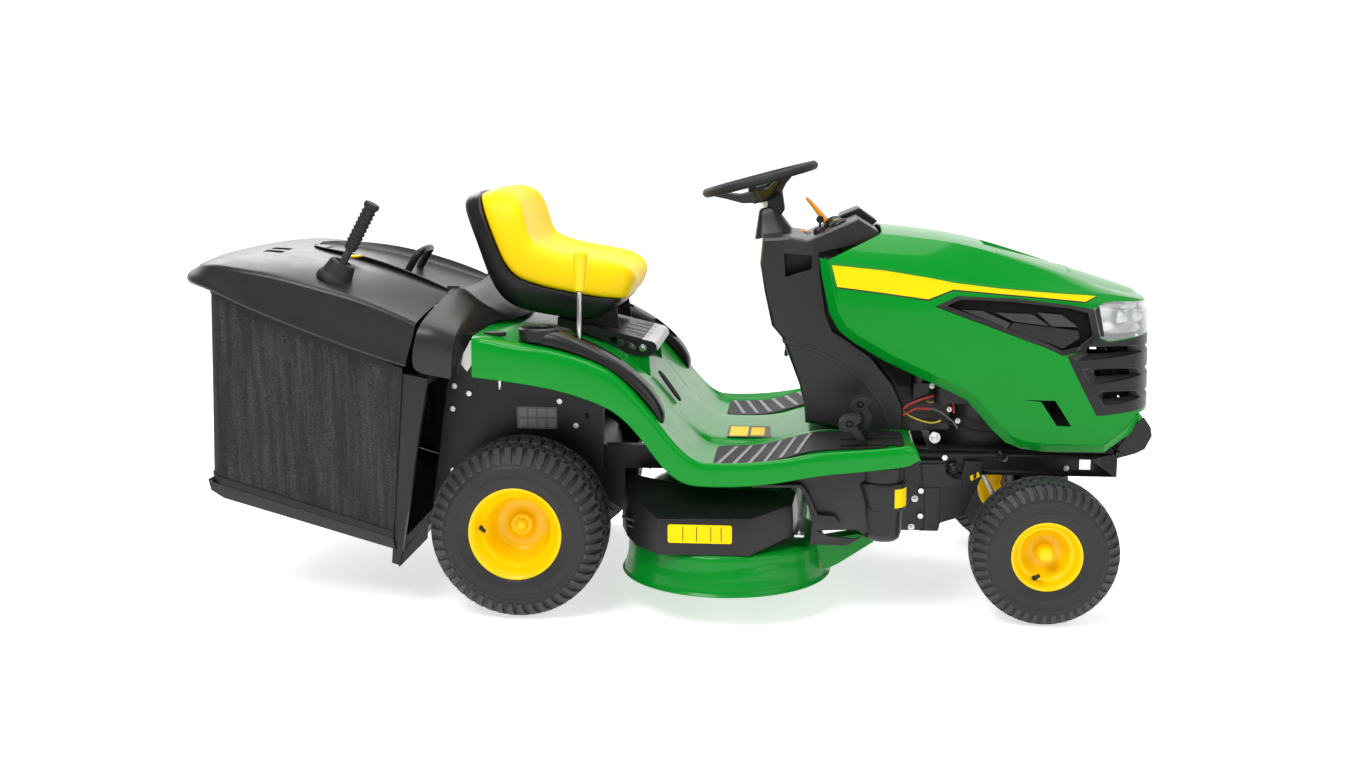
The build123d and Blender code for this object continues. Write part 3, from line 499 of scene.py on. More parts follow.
# ---------------------------------------------------------------- camera, light and floor
# The camera stands on the machine's right, a little above its steering wheel.
# Places are in metres, the lens in millimetres and turns in radians.
CAMERA_LENS = 38.32
CAMERA_AHEAD, CAMERA_AWAY, CAMERA_HEIGHT = 0.7057, 3.9024, 1.2076
CAMERA_DOWN, CAMERA_TURN = 0.173, 0.084


def make_stage():
    """The camera, the pale floor, the lamps and the white world."""
    camera = bpy.data.cameras.new("camera")
    camera.lens = CAMERA_LENS
    camera.clip_end = 50
    holder = bpy.data.objects.new("camera", camera)
    holder.location = (AXLE_X + CAMERA_AHEAD, -CAMERA_AWAY, CAMERA_HEIGHT)
    holder.rotation_euler = (math.pi / 2 - CAMERA_DOWN, 0, CAMERA_TURN)
    bpy.context.scene.collection.objects.link(holder)
    bpy.context.scene.camera = holder
    line = [(-9, 0), (13, 0), (13.6, 0.25), (14, 1), (14, 14)]
    floor = skin("floor", [[Vector((-18, y, z)), Vector((18, y, z))] for y, z in line])
    paper = shader("floor_paper", (0.80, 0.80, 0.80), 0.9, mottling=0.004)
    glow = paper.node_tree.nodes["Principled BSDF"].inputs
    glow["Emission Color"].default_value = (1, 1, 1, 1)
    glow["Emission Strength"].default_value = 0.64
    floor.data.materials.append(paper)
    for name, place, size, power, target in (
        ("key", (-1.6, -3.4, 4.4), 2.2, 165, (0.1, 0, 0.5)),
        ("fill", (3.4, -3.0, 2.4), 3.0, 50, (0.2, 0, 0.5)),
        ("top", (0.2, 0.6, 4.6), 3.4, 150, (0.1, 0, 0.4)),
        ("back", (-2.5, 3.6, 3.0), 2.5, 50, (0, 0, 0.5)),
    ):
        lamp = bpy.data.lights.new(name, "AREA")
        lamp.size = size
        lamp.energy = power
        light = bpy.data.objects.new(name, lamp)
        light.location = place
        light.rotation_euler = (Vector(target) - Vector(place)).to_track_quat("-Z", "Y").to_euler()
        bpy.context.scene.collection.objects.link(light)
    world = bpy.data.worlds.new("world")
    world.use_nodes = True
    world.node_tree.nodes["Background"].inputs["Color"].default_value = (1, 1, 1, 1)
    world.node_tree.nodes["Background"].inputs["Strength"].default_value = 0.34
    bpy.context.scene.world = world
    bpy.context.scene.view_settings.view_transform = "Standard"


# ---------------------------------------------------------------- wheels
def tread_point(angle, across, depth, tyre_r, half, centre, sign):
    """A point on the tread: angle round the axle, share of the half width, and depth below the surface."""
    share = abs(across)
    drop = between(
        share, (0, 0.35, 0.62, 0.78, 0.88, 0.95, 1.0), (0, 1.5, 5, 11, 20, 33, 48),
    ) * tyre_r / REAR_TYRE_R
    width = half * math.copysign(share, across)
    lean = between(share, (0, 0.6, 0.85, 1.0), (0, 0.25, 0.75, 1.0))
    radius = tyre_r - drop - depth * (1 - lean)
    width -= math.copysign(depth * lean, across)
    return centre + Vector((math.cos(angle) * radius * MM, sign * width * MM, math.sin(angle) * radius * MM))


def tread_block(points, faces, corners, spot, depth):
    """One rubber block over four or more (angle, across) corners, listed round its edge."""
    first = len(points)
    count = len(corners)
    middle_a = sum(a for a, _ in corners) / count
    middle_b = sum(b for _, b in corners) / count
    for level, grow in ((depth, 1.10), (1.2, 1.0), (0.0, 0.90)):
        for a, b in corners:
            points.append(spot(middle_a + (a - middle_a) * grow, middle_b + (b - middle_b) * grow, level))
    for step in (0, count):
        for k in range(count):
            n = (k + 1) % count
            faces.append(
                (first + step + k, first + step + n, first + step + count + n, first + step + count + k)
            )
    faces.append(tuple(range(first + 2 * count, first + 3 * count)))


def make_tyre(name, body, centre, sign, tyre_r, half, bead_r, blocks, node):
    """A turf tyre: a turned carcass, shoulder lugs down the side, and staggered blocks on the crown."""
    scale = tyre_r / REAR_TYRE_R
    depth = 8.5 * scale
    crown = [(tyre_r - 9 * scale - 3 * t * t, half * t) for t in (-0.6, -0.3, 0, 0.3, 0.6)]
    wall = [
        (tyre_r - 13 * scale, 0.70), (tyre_r - 24 * scale, 0.84), (tyre_r - 40 * scale, 0.935),
        (tyre_r - 52 * scale, 0.972), (tyre_r - 54 * scale, 0.998), (tyre_r - 57 * scale, 0.998),
        (tyre_r - 60 * scale, 0.975), (mix(tyre_r, bead_r, 0.56), 0.985),
        (mix(tyre_r, bead_r, 0.70), 0.972), (mix(tyre_r, bead_r, 0.72), 0.985),
        (mix(tyre_r, bead_r, 0.75), 0.985), (mix(tyre_r, bead_r, 0.77), 0.962),
        (mix(tyre_r, bead_r, 0.90), 0.925), (bead_r + 3, 0.885), (bead_r, 0.86), (bead_r - 4, 0.83),
    ]
    right = [(r, -half * w) for r, w in reversed(wall)]
    left = [(r, half * w) for r, w in wall]
    carcass = turned(name, right + crown + left, centre, (0, sign, 0), steps=144, looped=False)
    smoothed(carcass, 1)
    points, faces = [], []

    def spot(angle, across, level):
        return tread_point(angle, across, level, tyre_r - 0.3, half, centre, sign)

    pitch = 2 * math.pi / blocks
    for k in range(blocks):
        turn = k * pitch
        for side in (-1, 1):
            slant = 0.10 * pitch * side
            shoulder = [
                (turn - 0.33 * pitch + slant, side * 0.66), (turn + 0.30 * pitch + slant, side * 0.66),
                (turn + 0.36 * pitch, side * 0.80), (turn + 0.34 * pitch - slant, side * 0.90),
                (turn + 0.30 * pitch - slant, side * 0.985), (turn - 0.22 * pitch - slant, side * 0.985),
                (turn - 0.26 * pitch - slant, side * 0.90), (turn - 0.28 * pitch, side * 0.80),
            ]
            tread_block(points, faces, shoulder, spot, depth)
            offset = 0.5 * pitch
            middle = [
                (turn + offset - 0.42 * pitch, side * 0.36), (turn + offset - 0.06 * pitch, side * 0.31),
                (turn + offset + 0.40 * pitch, side * 0.36), (turn + offset + 0.46 * pitch, side * 0.50),
                (turn + offset + 0.32 * pitch, side * 0.63), (turn + offset + 0.02 * pitch, side * 0.58),
                (turn + offset - 0.34 * pitch, side * 0.63), (turn + offset - 0.46 * pitch, side * 0.49),
            ]
            tread_block(points, faces, middle, spot, depth)
        centre_block = [
            (turn - 0.40 * pitch, -0.30), (turn + 0.10 * pitch, -0.25), (turn + 0.40 * pitch, -0.28),
            (turn + 0.46 * pitch, 0.0), (turn + 0.40 * pitch, 0.25), (turn - 0.10 * pitch, 0.28),
            (turn - 0.40 * pitch, 0.27), (turn - 0.34 * pitch, 0.0),
        ]
        tread_block(points, faces, centre_block, spot, depth)
    lugs = clean(mesh_object(name + "_lugs", points, faces))
    dress(join(carcass, lugs), TYRE, body, "tyre_rubber", [node], sharp=38)


def make_rim(name, body, centre, sign, profile, valve, node):
    """A pressed and welded rim, turned in one, with its valve."""
    rim = turned(name, profile, centre, (0, sign, 0), steps=96, looped=True)
    smoothed(rim, 1)
    dress(rim, YELLOW_PAINT, body, "yellow_paint", [node], sharp=40)
    radius, depth, angle = valve
    base = centre + Vector((math.cos(angle) * radius, sign * depth, math.sin(angle) * radius)) * MM
    lean = Vector((-math.cos(angle) * 0.55, sign * 1.0, -math.sin(angle) * 0.55)).normalized()
    stem = turned(
        name + "_valve",
        [(0, 0), (6.5, 0), (6.5, 3), (4.6, 6), (4.2, 18), (5, 18.5), (5, 30), (4, 31), (0, 31)], base,
        lean, 20, looped=False,
    )
    dress(stem, RUBBER, body, "black_rubber")


def rim_section(bead, flange, edge, ledge, depth, hub):
    """Closed (radius, offset) section: rolled lips, barrel, outer ledge, deep bowl and hub."""
    hub_r, hub_out, bore = hub
    inner = -edge
    return [
        (bore, -24), (hub_r, -24), (hub_r + 3, depth - 6), (bead - 30, depth - 5),
        (bead - 7, inner * 0.4), (bead - 6, inner + 6), (flange - 8, inner + 1), (flange - 3, inner - 4),
        (flange, inner - 3), (flange, inner), (flange - 5, inner + 3), (bead, inner + 9), (bead - 2, 0),
        (bead, edge - 9), (flange - 5, edge - 3), (flange, edge), (flange, edge + 3),
        (flange - 3, edge + 4), (flange - 9, edge - 1), (bead - 3, edge - 14), (bead - 8, edge - 26),
        *ledge, (hub_r + 10, depth + 1), (hub_r + 2, depth + 4), (hub_r, depth + 9),
        (hub_r - 1, hub_out - 3), (hub_r - 5, hub_out), (bore, hub_out),
    ]


def make_wheels():
    """Tyres, rims, axle shafts and caps of all four wheels."""
    rear_rim = rim_section(
        101.6, 117, 93, [(88, 62), (84, 56), (80, 46), (76, 10), (70, -8), (58, -14)], -14, (30, 6, 9.5),
    )
    front_rim = rim_section(
        76.2, 87, 64.5, [(63, 40), (60, 36), (57, 26), (52, 10), (44, 2)], 0, (20, 38, 9.5),
    )
    for side, sign in SIDES:
        rear = at(0, sign * 381, REAR_TYRE_R)
        front = at(WHEELBASE, sign * 359, FRONT_TYRE_R)
        body = f"rear_{side}_wheel"
        make_tyre(f"turf_tyre_rear_{side}", body, rear, sign, REAR_TYRE_R, 108, 114, 46, f"rear_tyre_{side}")
        make_rim(
            f"wheel_rear_{side}", body, rear, sign, rear_rim, (92, 64, math.radians(176)),
            f"rear_rim_{side}",
        )
        axle = rod(f"axle_shaft_{side}", at(0, sign * 104, REAR_TYRE_R), at(0, sign * 391, REAR_TYRE_R), 9.4)
        dress(axle, BRIGHT, body, "bright_steel")
        dome = turned(
            f"hub_dome_{side}",
            [(0, 17), (7, 16.5), (12, 14.5), (15, 11), (16.5, 6), (18, 5.4), (18, 3), (10, 3)], rear,
            (0, sign, 0), 40, looped=False,
        )
        dress(dome, YELLOW_PAINT, body, "yellow_paint")
        body = f"front_{side}_wheel"
        make_tyre(
            f"turf_tyre_front_{side}", body, front, sign, FRONT_TYRE_R, 75, 84, 44, f"front_tyre_{side}",
        )
        make_rim(
            f"wheel_front_{side}", body, front, sign, front_rim, (66, 41, math.radians(-112)),
            f"front_rim_{side}",
        )
        cap = turned(
            f"hub_cap_{side}", [(0, 53), (12, 52.5), (17, 50), (19.6, 44), (20.6, 30), (20.6, 8), (17, 8)],
            front, (0, sign, 0), 40, looped=False,
        )
        modify(cap, "SUBSURF", levels=1, render_levels=1)
        dress(settle(cap), YELLOW_PAINT, body, "yellow_paint")


# ---------------------------------------------------------------- hood
HOOD_X = (742, 790, 900, 1015, 1078, 1180, 1290, 1400, 1470, 1530, 1572, 1596, 1602)
HOOD_Y = (272, 272, 272, 273, 273, 274, 273, 270, 262, 240, 196, 110, 0)
SHOULDER_Z = (892, 887, 873, 852, 841, 828, 818, 813, 808, 798, 789, 782, 779)
BAND_Z = (817, 812, 798, 783, 809, 801, 792, 782, 777, 768, 764, 762, 760)
CREASE_X = (742, 790, 900, 1015, 1078, 1180, 1290, 1400, 1462, 1510, 1545, 1566, 1572)
CREASE_Y = (206, 205, 203, 202, 202, 201, 199, 193, 181, 152, 112, 60, 0)
CREASE_Z = (962, 959, 951, 938, 931, 905, 871, 834, 815, 802, 794, 789, 788)
SPINE_X = (742, 790, 900, 1015, 1078, 1180, 1290, 1400, 1460, 1500, 1532, 1552, 1560)
SPINE_Z = (974, 971, 962, 949, 941, 920, 886, 851, 832, 819, 808, 801, 799)
HOOD_LOW = [
    (742, 892), (748, 851), (769, 754), (794, 710), (827, 683), (909, 635), (991, 597), (1072, 560),
    (1116, 538), (1150, 500), (1183, 462), (1216, 432), (1255, 416), (1314, 409), (1463, 408),
    (1525, 451), (1565, 488), (1640, 491),
]
HOOD_TOP = [(1640, 1000), (915, 1000), (897, 951)]
GRILLE_SIDE = [
    (1356, 655), (1392, 665), (1432, 700), (1458, 690), (1640, 712), (1640, 514), (1559, 514), (1436, 503),
    (1401, 567), (1372, 622),
]
LAMP_SIDE = [(1416, 772), (1443, 788), (1470, 790), (1640, 784), (1640, 714), (1458, 692), (1434, 702)]
INSERT_SIDE = [
    (1028, 775), (1083, 802), (1224, 797), (1367, 781), (1416, 772), (1434, 702), (1392, 665), (1345, 655),
    (1310, 672), (1200, 712),
]
VENT_SIDE = [(1250, 543), (1332, 542), (1375, 476), (1338, 478), (1298, 538)]


HOOD_CLEAR = 330  # past the hood on either side
ACROSS_HOOD = (-HOOD_CLEAR, HOOD_CLEAR)


def hood_half_width(x):
    """Half the hood's width at a distance along it."""
    return between(x, HOOD_X, HOOD_Y)


def hood_surface(name):
    """The outer skin as rows of points from the lower edge up to the spine, round both sides."""

    def row(xs, ys, zs, inset=0, forward=0):
        right = []
        for x, y, z in zip(xs, ys, zs):
            share = (x - 1400) / 202 if x > 1400 else 0
            right.append((x - (inset + forward) * share, max(0, y - inset * (1 - 0.3 * share)), z))
        return both_sides([at(x, -y, z) for x, y, z in right])

    flat = [350] * len(HOOD_X)
    rows = [
        row(HOOD_X, HOOD_Y, flat), row(HOOD_X, HOOD_Y, [500] * len(HOOD_X)),
        row(HOOD_X, HOOD_Y, [mix(z, 500, 0.5) for z in BAND_Z], 0, 6),
        row(HOOD_X, HOOD_Y, [z - 7 for z in BAND_Z], 0, 12), row(HOOD_X, HOOD_Y, BAND_Z, 5, 14),
        row(HOOD_X, HOOD_Y, [mix(a, b, 0.5) for a, b in zip(BAND_Z, SHOULDER_Z)], 5, 16),
        row(HOOD_X, HOOD_Y, SHOULDER_Z, 1, 18),
        row(
            [mix(a, b, 0.5) for a, b in zip(HOOD_X, CREASE_X)],
            [mix(a, b, 0.5) + 2 for a, b in zip(HOOD_Y, CREASE_Y)],
            [mix(a, b, 0.5) + 3 for a, b in zip(SHOULDER_Z, CREASE_Z)], 0, 10,
        ),
        row(CREASE_X, CREASE_Y, CREASE_Z),
        row(
            [mix(a, b, 0.5) for a, b in zip(CREASE_X, SPINE_X)], [0.5 * y for y in CREASE_Y],
            [mix(a, b, 0.8) for a, b in zip(CREASE_Z, SPINE_Z)],
        ),
        row(SPINE_X, [0] * len(SPINE_X), SPINE_Z),
    ]
    obj = skin(name, rows, creased={3: 0.7, 4: 0.7, 6: 0.85, 8: 0.8})
    modify(obj, "SUBSURF", levels=2, render_levels=2)
    return settle(obj)


def moved_inwards(line, amount):
    """An open (x, z) line moved to its left by an amount."""
    moved = []
    for k, (x, z) in enumerate(line):
        before, after = line[max(0, k - 1)], line[min(len(line) - 1, k + 1)]
        run = Vector((after[0] - before[0], after[1] - before[1])).normalized()
        moved.append((x - run.y * amount, z + run.x * amount))
    return moved


def lamp_zone(name):
    """A cutter over both lamps that leaves the middle of the nose."""
    inner = 66
    right = prism(name, LAMP_SIDE, -HOOD_CLEAR, -inner)
    return join(right, prism(name + "_left", LAMP_SIDE, inner, HOOD_CLEAR))


def make_hood():
    """The green hood with its grille, lamps, inserts and stripes."""
    flange_line = HOOD_LOW[:-1]
    crease_line = moved_inwards(flange_line, 23)
    crease_line[0] = (762, 889)
    outline = crease_line + [(1640, 512)] + HOOD_TOP
    shell = hood_surface("hood_skin")
    walled(shell, 4, -1)
    cut(shell, prism("trim", outline, *ACROSS_HOOD), operation="INTERSECT")
    grille = duplicate(shell, "grille_moulding")
    lenses = duplicate(shell, "headlight_lens")
    cut(grille, prism("zone", GRILLE_SIDE, *ACROSS_HOOD), operation="INTERSECT")
    cut(lenses, lamp_zone("zone"), operation="INTERSECT")
    holes = prism("holes", GRILLE_SIDE, *ACROSS_HOOD)
    cut(shell, holes, lamp_zone("lamps"))
    for sign in (-1, 1):
        outside = band_of(sign, 200, HOOD_CLEAR)
        cut(shell, prism("insert_hole", INSERT_SIDE, *outside), prism("vent_hole", VENT_SIDE, *outside))
    flange_rows = []
    for share, inset in ((0, 0), (0.1, 1), (0.92, 17), (1, 20), (1, 26)):
        flange_rows.append([
            at(mix(a[0], b[0], share), -hood_half_width(a[0]) + inset, mix(a[1], b[1], share))
            for a, b in zip(crease_line, flange_line)
        ])
    flange = skin("flange", flange_rows)
    walled(flange, 3)
    join(shell, mirrored(flange))
    make_scoop(shell)
    dress(shell, GREEN, "hood", "green_bodywork", ["hood_shell"], bevel=1.2, sharp=45)
    make_grille(grille)
    make_lamps(lenses)
    make_inserts()
    make_stripe()
    make_hood_inside()


def make_scoop(shell):
    """A shallow recess along the middle of the hood, deepest at its rear end."""
    half, rear, front, deepest = 112, 1162, 1384, 13
    tree = BVHTree.FromPolygons(
        [v.co for v in shell.data.vertices], [p.vertices for p in shell.data.polygons],
    )

    def top(x, y):
        return tree.ray_cast(at(x, y, 1200), Vector((0, 0, -1)))[0].z / MM

    rows = []
    for x, share in (
        (rear, 0), (rear + 2, 0.97), (1200, 0.84), (1250, 0.6), (1300, 0.37), (1345, 0.17), (front, 0),
    ):
        depth = deepest * share
        right = [(half + 0.6, 0), (half - 2, depth), (half * 0.6, depth), (half * 0.3, depth), (0, depth)]
        line = [at(x, -y, top(x, y) - 0.4 - drop) for y, drop in right]
        rows.append(both_sides(line))
    plan = [(rear, -half), (rear, half), (front, half), (front, -half)]
    cut(shell, prism("opening", plan, 780, 1000, axis="z"))
    bed = skin("hood_scoop", rows)
    walled(bed, 3, -1)
    dress(clean(bed), GREEN, "hood", "green_bodywork", sharp=30)


SLOTS = (
    (((1366, 654), (1381, 671), (1400, 679), (1532, 680), (1550, 660), (1380, 641)),
     ((1417, 658), (1417, 672), (1424, 675), (1522, 675), (1526, 660), (1424, 656))),
    (((1396, 619), (1398, 622), (1410, 624), (1533, 622), (1551, 601), (1418, 582)),
     ((1438, 602), (1438, 617), (1446, 619), (1529, 619), (1532, 602), (1445, 599))),
    (((1434, 560), (1436, 564), (1450, 566), (1535, 565), (1552, 543), (1454, 528)),
     ((1462, 544), (1462, 558), (1470, 561), (1533, 561), (1536, 546), (1470, 541))),
)


def make_grille(grille):
    """The black grille moulding: three openings a side, each at the back of a scooped pocket."""
    pockets = []
    for outer, inner in SLOTS:
        for sign in (-1, 1):
            cut(grille, prism("slot", outer, *band_of(sign, 190, HOOD_CLEAR)))
            rows = []
            for line, shares in ((outer, (0, 0.12)), (inner, (0.9, 1.0))):
                for share in shares:
                    rows.append([
                        at(x - 10 * share, sign * (hood_half_width(x) - 1 - 27 * share), z) for x, z in line
                    ])
            pockets.append(thicken(skin("pocket", rows, closed=True), 2.2))
        low, high = inner[-1][1], inner[3][1]
        cut(grille, box("front_slot", (1500, 1640), (-186, 186), (low, high)))
    dress(grille, BLACK, "hood", "black_plastic", ["front_grille"], bevel=2.4, segments=3)
    joined = gathered("grille_pockets", pockets)
    # The pockets are lighter than the moulding: a painted highlight.
    dress(joined, HIGHLIGHT_GREY, "hood", "black_plastic", bevel=0.8)
    inner_rows = []
    for z in (512, 560, 640, 704):
        right = [
            (x - 34 - 14 * (z < 620), max(0, y - 32), z) for x, y in zip(HOOD_X[7:], HOOD_Y[7:])
        ]
        inner_rows.append(both_sides([at(x, -y, z) for x, y, z in right]))
    lining = skin("grille_lining", inner_rows)
    walled(lining, 2.5)
    for z_low, z_high, start in ((650, 682, 1400), (592, 626, 1420)):
        cut(lining, box("opening", (start, 1478), ACROSS_HOOD, (z_low, z_high)))
    for z_low, z_high in ((650, 682), (592, 626), (534, 566)):
        cut(lining, box("opening", (1500, 1640), (-206, 206), (z_low, z_high)))
    # The lining is painted shade: a near-black sheet that darkens what shows through the grille openings.
    dress(lining, SHADE_BLACK, "hood", "black_plastic")
    # The baffle is painted shade: a near-black block behind the grille slots.
    baffle = join(
        box("grille_baffle", (1530, 1545), (-190, -20), (520, 690)),
        box("low_slot", (1530, 1545), (-20, 190), (520, 575)),
    )
    dress(baffle, SHADE_BLACK, "hood", "black_plastic")


def make_lamps(lenses):
    """Clear lenses over bowls with two bulbs a side."""
    dress(lenses, LENS, "hood", "clear_lens", ["headlight_lenses"], bevel=2.0, segments=3)
    for side, sign in SIDES:
        rows = []
        for z, push in ((708, 22), (716, 30), (752, 34), (776, 30), (783, 22)):
            rows.append([
                at(x - push * (0.3 + 0.7 * (x > 1500)), sign * max(60, y - push), z)
                for x, y in zip(HOOD_X[7:12], HOOD_Y[7:12])
            ])
        bowl = skin("lamp_bowl", rows)
        smoothed(bowl, 1)
        walled(bowl, 2)
        bowl.name = f"lamp_reflector_{side}"
        dress(bowl, REFLECTOR, "hood", "clear_lens")
        for k, (x, y) in enumerate(((1490, 220), (1540, 168))):
            bulb = turned(
                f"lamp_bulb_{side}_{k}", [(0, 0), (20, 0), (21, 3), (14, 10), (10, 12), (0, 13)],
                at(x, sign * y, 748), (0.75, sign * 0.66, 0), 32, looped=False,
            )
            dress(bulb, REFLECTOR, "hood", "clear_lens")
        frame_line = [(1417, 770), (1424, 777), (1430, 779), (1446, 703), (1437, 704)]
        surround = prism(
            f"lamp_surround_{side}", frame_line, *band_of(sign, 250, 267),
        )
        dress(surround, BLACK, "hood", "black_plastic", bevel=3)


FACETS = (
    ((1093, 766), (1146, 764), (1216, 735), (1206, 721)),
    ((1178, 760), (1268, 757), (1310, 729), (1221, 740)),
    ((1281, 761), (1341, 756), (1380, 727), (1316, 728)),
)
INSERT_INNER = (
    (1060, 777), (1092, 792), (1224, 787), (1360, 772), (1402, 762), (1416, 706), (1384, 678),
    (1345, 668), (1312, 684), (1204, 724),
)


def make_inserts():
    """The black side insert under the stripe: a raised edge, three tilted facets and a plain panel."""
    for side, sign in SIDES:
        # The back plate is painted shade: near-black behind the facets, where the recess lies in shade.
        back = prism(f"hood_insert_back_{side}", INSERT_SIDE, *band_of(sign, 248, 251))
        dress(back, SHADE_BLACK, "hood", "black_plastic")
        edge_rows = []
        for line, depth in ((INSERT_SIDE, 251), (INSERT_SIDE, 272), (INSERT_INNER, 267), (INSERT_INNER, 251)):
            edge_rows.append([at(x, sign * depth, z) for x, z in line])
        plate = skin(f"hood_insert_{side}", edge_rows, closed=True)
        panel = [(1203, 713), (1222, 737), (1382, 718), (1386, 700), (1346, 672), (1310, 686)]
        join(plate, prism("panel", panel, *band_of(sign, 252, 265)))
        dress(plate, BLACK, "hood", "black_plastic", ["hood_side_inserts"] if sign < 0 else [], bevel=1.6)
        facets = []
        for top_rear, top_front, low_front, low_rear in FACETS:
            upper = [at(x, sign * 256, z) for x, z in (top_rear, top_front)]
            lower = [at(x, sign * 266, z) for x, z in (low_rear, low_front)]
            facets.append(thicken(skin("facet", [upper, lower]), 2.5))
        joined = gathered(f"insert_facets_{side}", facets)
        # The facets are lighter than the insert: a painted highlight on the tilted faces.
        dress(joined, HIGHLIGHT_GREY, "hood", "black_plastic", bevel=0.8)


def make_stripe():
    """A plain yellow band below the shoulder, edged in black, tapering towards the lamp."""
    top = [
        (772, 876), (900, 864), (1015, 846), (1078, 834), (1180, 822), (1290, 813), (1400, 806),
        (1420, 804),
    ]
    low = [
        (786, 822), (900, 808), (1012, 793), (1072, 818), (1180, 809), (1290, 800), (1396, 790),
        (1420, 804),
    ]
    for name, grow, out, material, slot in (
        ("stripe_edge", 3.5, 0.4, BLACK, "black_plastic"), ("stripe_band", 0, 0.8, LABEL, "yellow_plastic"),
    ):
        for side, sign in SIDES:
            rows = []
            for share in (0, 0.25, 0.5, 0.75, 1):
                line = [
                    (mix(x1, x2, share), mix(z1, z2 - grow, share)) for (x1, z1), (x2, z2) in zip(top, low)
                ]
                rows.append([at(x, sign * (hood_half_width(x) - 3.0 + out), z) for x, z in line])
            band = skin(f"{name}_{side}", rows)
            target = bpy.data.objects["hood_skin"]
            modify(band, "SUBSURF", levels=2, render_levels=2, subdivision_type="SIMPLE")
            settle(band)
            modify(band, "SHRINKWRAP", target=target, wrap_method="NEAREST_SURFACEPOINT", offset=out * MM,
                   wrap_mode="ABOVE_SURFACE")
            settle(band)
            walled(band, 0.5)
            dress(band, material, "hood", slot)


def make_hood_inside():
    """Hinge brackets at the front of the hood."""
    for side, sign in SIDES:
        ear = prism(
            f"hood_hinge_{side}",
            [
                (1484, 392), (1497, 385), (1546, 400), (1568, 412), (1584, 446), (1580, 468), (1562, 494),
                (1536, 470),
            ],
            *band_of(sign, 216, 224),
        )
        hole = rod("hole", at(1500, sign * 200, 400), at(1500, sign * 260, 400), 6.3)
        cut(ear, hole)
        dress(ear, BLACK, "hood", "black_plastic", bevel=2.5, segments=3)


# ---------------------------------------------------------------- fender deck, footrests and consoles
FENDER_X = (
    -98, -65, -18, 40, 100, 160, 210, 246, 280, 320, 364, 401, 430, 455, 480, 530, 600, 660, 715, 760,
    860, 940, 968, 982,
)
TUNNEL_Z = (
    714, 712, 702, 694, 684, 667, 650, 628, 600, 556, 500, 456, 430, 417, 411, 409, 410, 418, 432, 440,
    445, 446, 444, 436,
)
FLOOR_Z = (
    714, 712, 702, 694, 684, 667, 650, 628, 600, 556, 500, 452, 420, 402, 395, 394, 398, 414, 431, 439,
    444, 446, 444, 434,
)
LIP_Z = (
    712, 711, 698, 692, 683, 667, 648, 628, 599, 555, 500, 455, 429, 417, 415, 415, 419, 427, 438, 446,
    453, 462, 466, 452,
)
SKIRT_Z = (
    613, 611, 606, 598, 588, 572, 554, 537, 510, 464, 400, 368, 356, 354, 353, 353, 358, 368, 380, 388,
    399, 408, 414, 424,
)


def make_fender():
    """The one-piece fender and footrest deck."""
    columns = (
        (0, "tunnel", 0), (150, "tunnel", 0), (166, "tunnel", -2), (184, "floor", 2), (200, "floor", 0),
        (330, "floor", 0), (430, "floor", 0), (458, "floor", 1), (470, "lip", 0), (480, "lip", -3),
        (484.5, "lip", -12), (485, "skirt", 60), (485, "skirt", 14), (483, "skirt", 2), (476, "skirt", 0),
        (470, "skirt", 3),
    )
    levels = {"tunnel": TUNNEL_Z, "floor": FLOOR_Z, "lip": LIP_Z, "skirt": SKIRT_Z}
    rows = []
    for i, x in enumerate(FENDER_X):
        narrow = between(x, (-98, -60, 930, 982), (10, 0, 0, 16))
        half = []
        for y, level, lift in columns:
            z = levels[level][i] + lift
            if level == "skirt" and lift == 60:
                z = mix(SKIRT_Z[i] + 14, LIP_Z[i] - 12, 0.5)
            half.append((x, y * (1 - narrow / 485), z))
        rows.append([at(a, -b, c) for a, b, c in reversed(half)] + [at(a, b, c) for a, b, c in half[1:]])
    front = []
    for point in rows[-1]:
        y = point.y / MM
        front.append(at(988, y * 0.995, 424 if abs(y) < 470 else 425))
    rows.append(front)
    deck = skin("fender_body", rows)
    smoothed(deck)
    thicken(deck, 3.5, -1)
    for y in PEDAL_YS:
        cut(deck, box("pedal_slot", (806, 930), (y - 8, y + 8), (380, 500)), folded=True)
    cut(deck, box("lever_slot", (138, 262), (-411, -389), (560, 740)), folded=True)
    dress(deck, GREEN, "chassis", "green_bodywork", ["fender_deck"], bevel=0.8, sharp=42)


def floor_height(x):
    """The footrest floor's height at a distance along it."""
    return between(x, FENDER_X, FLOOR_Z)


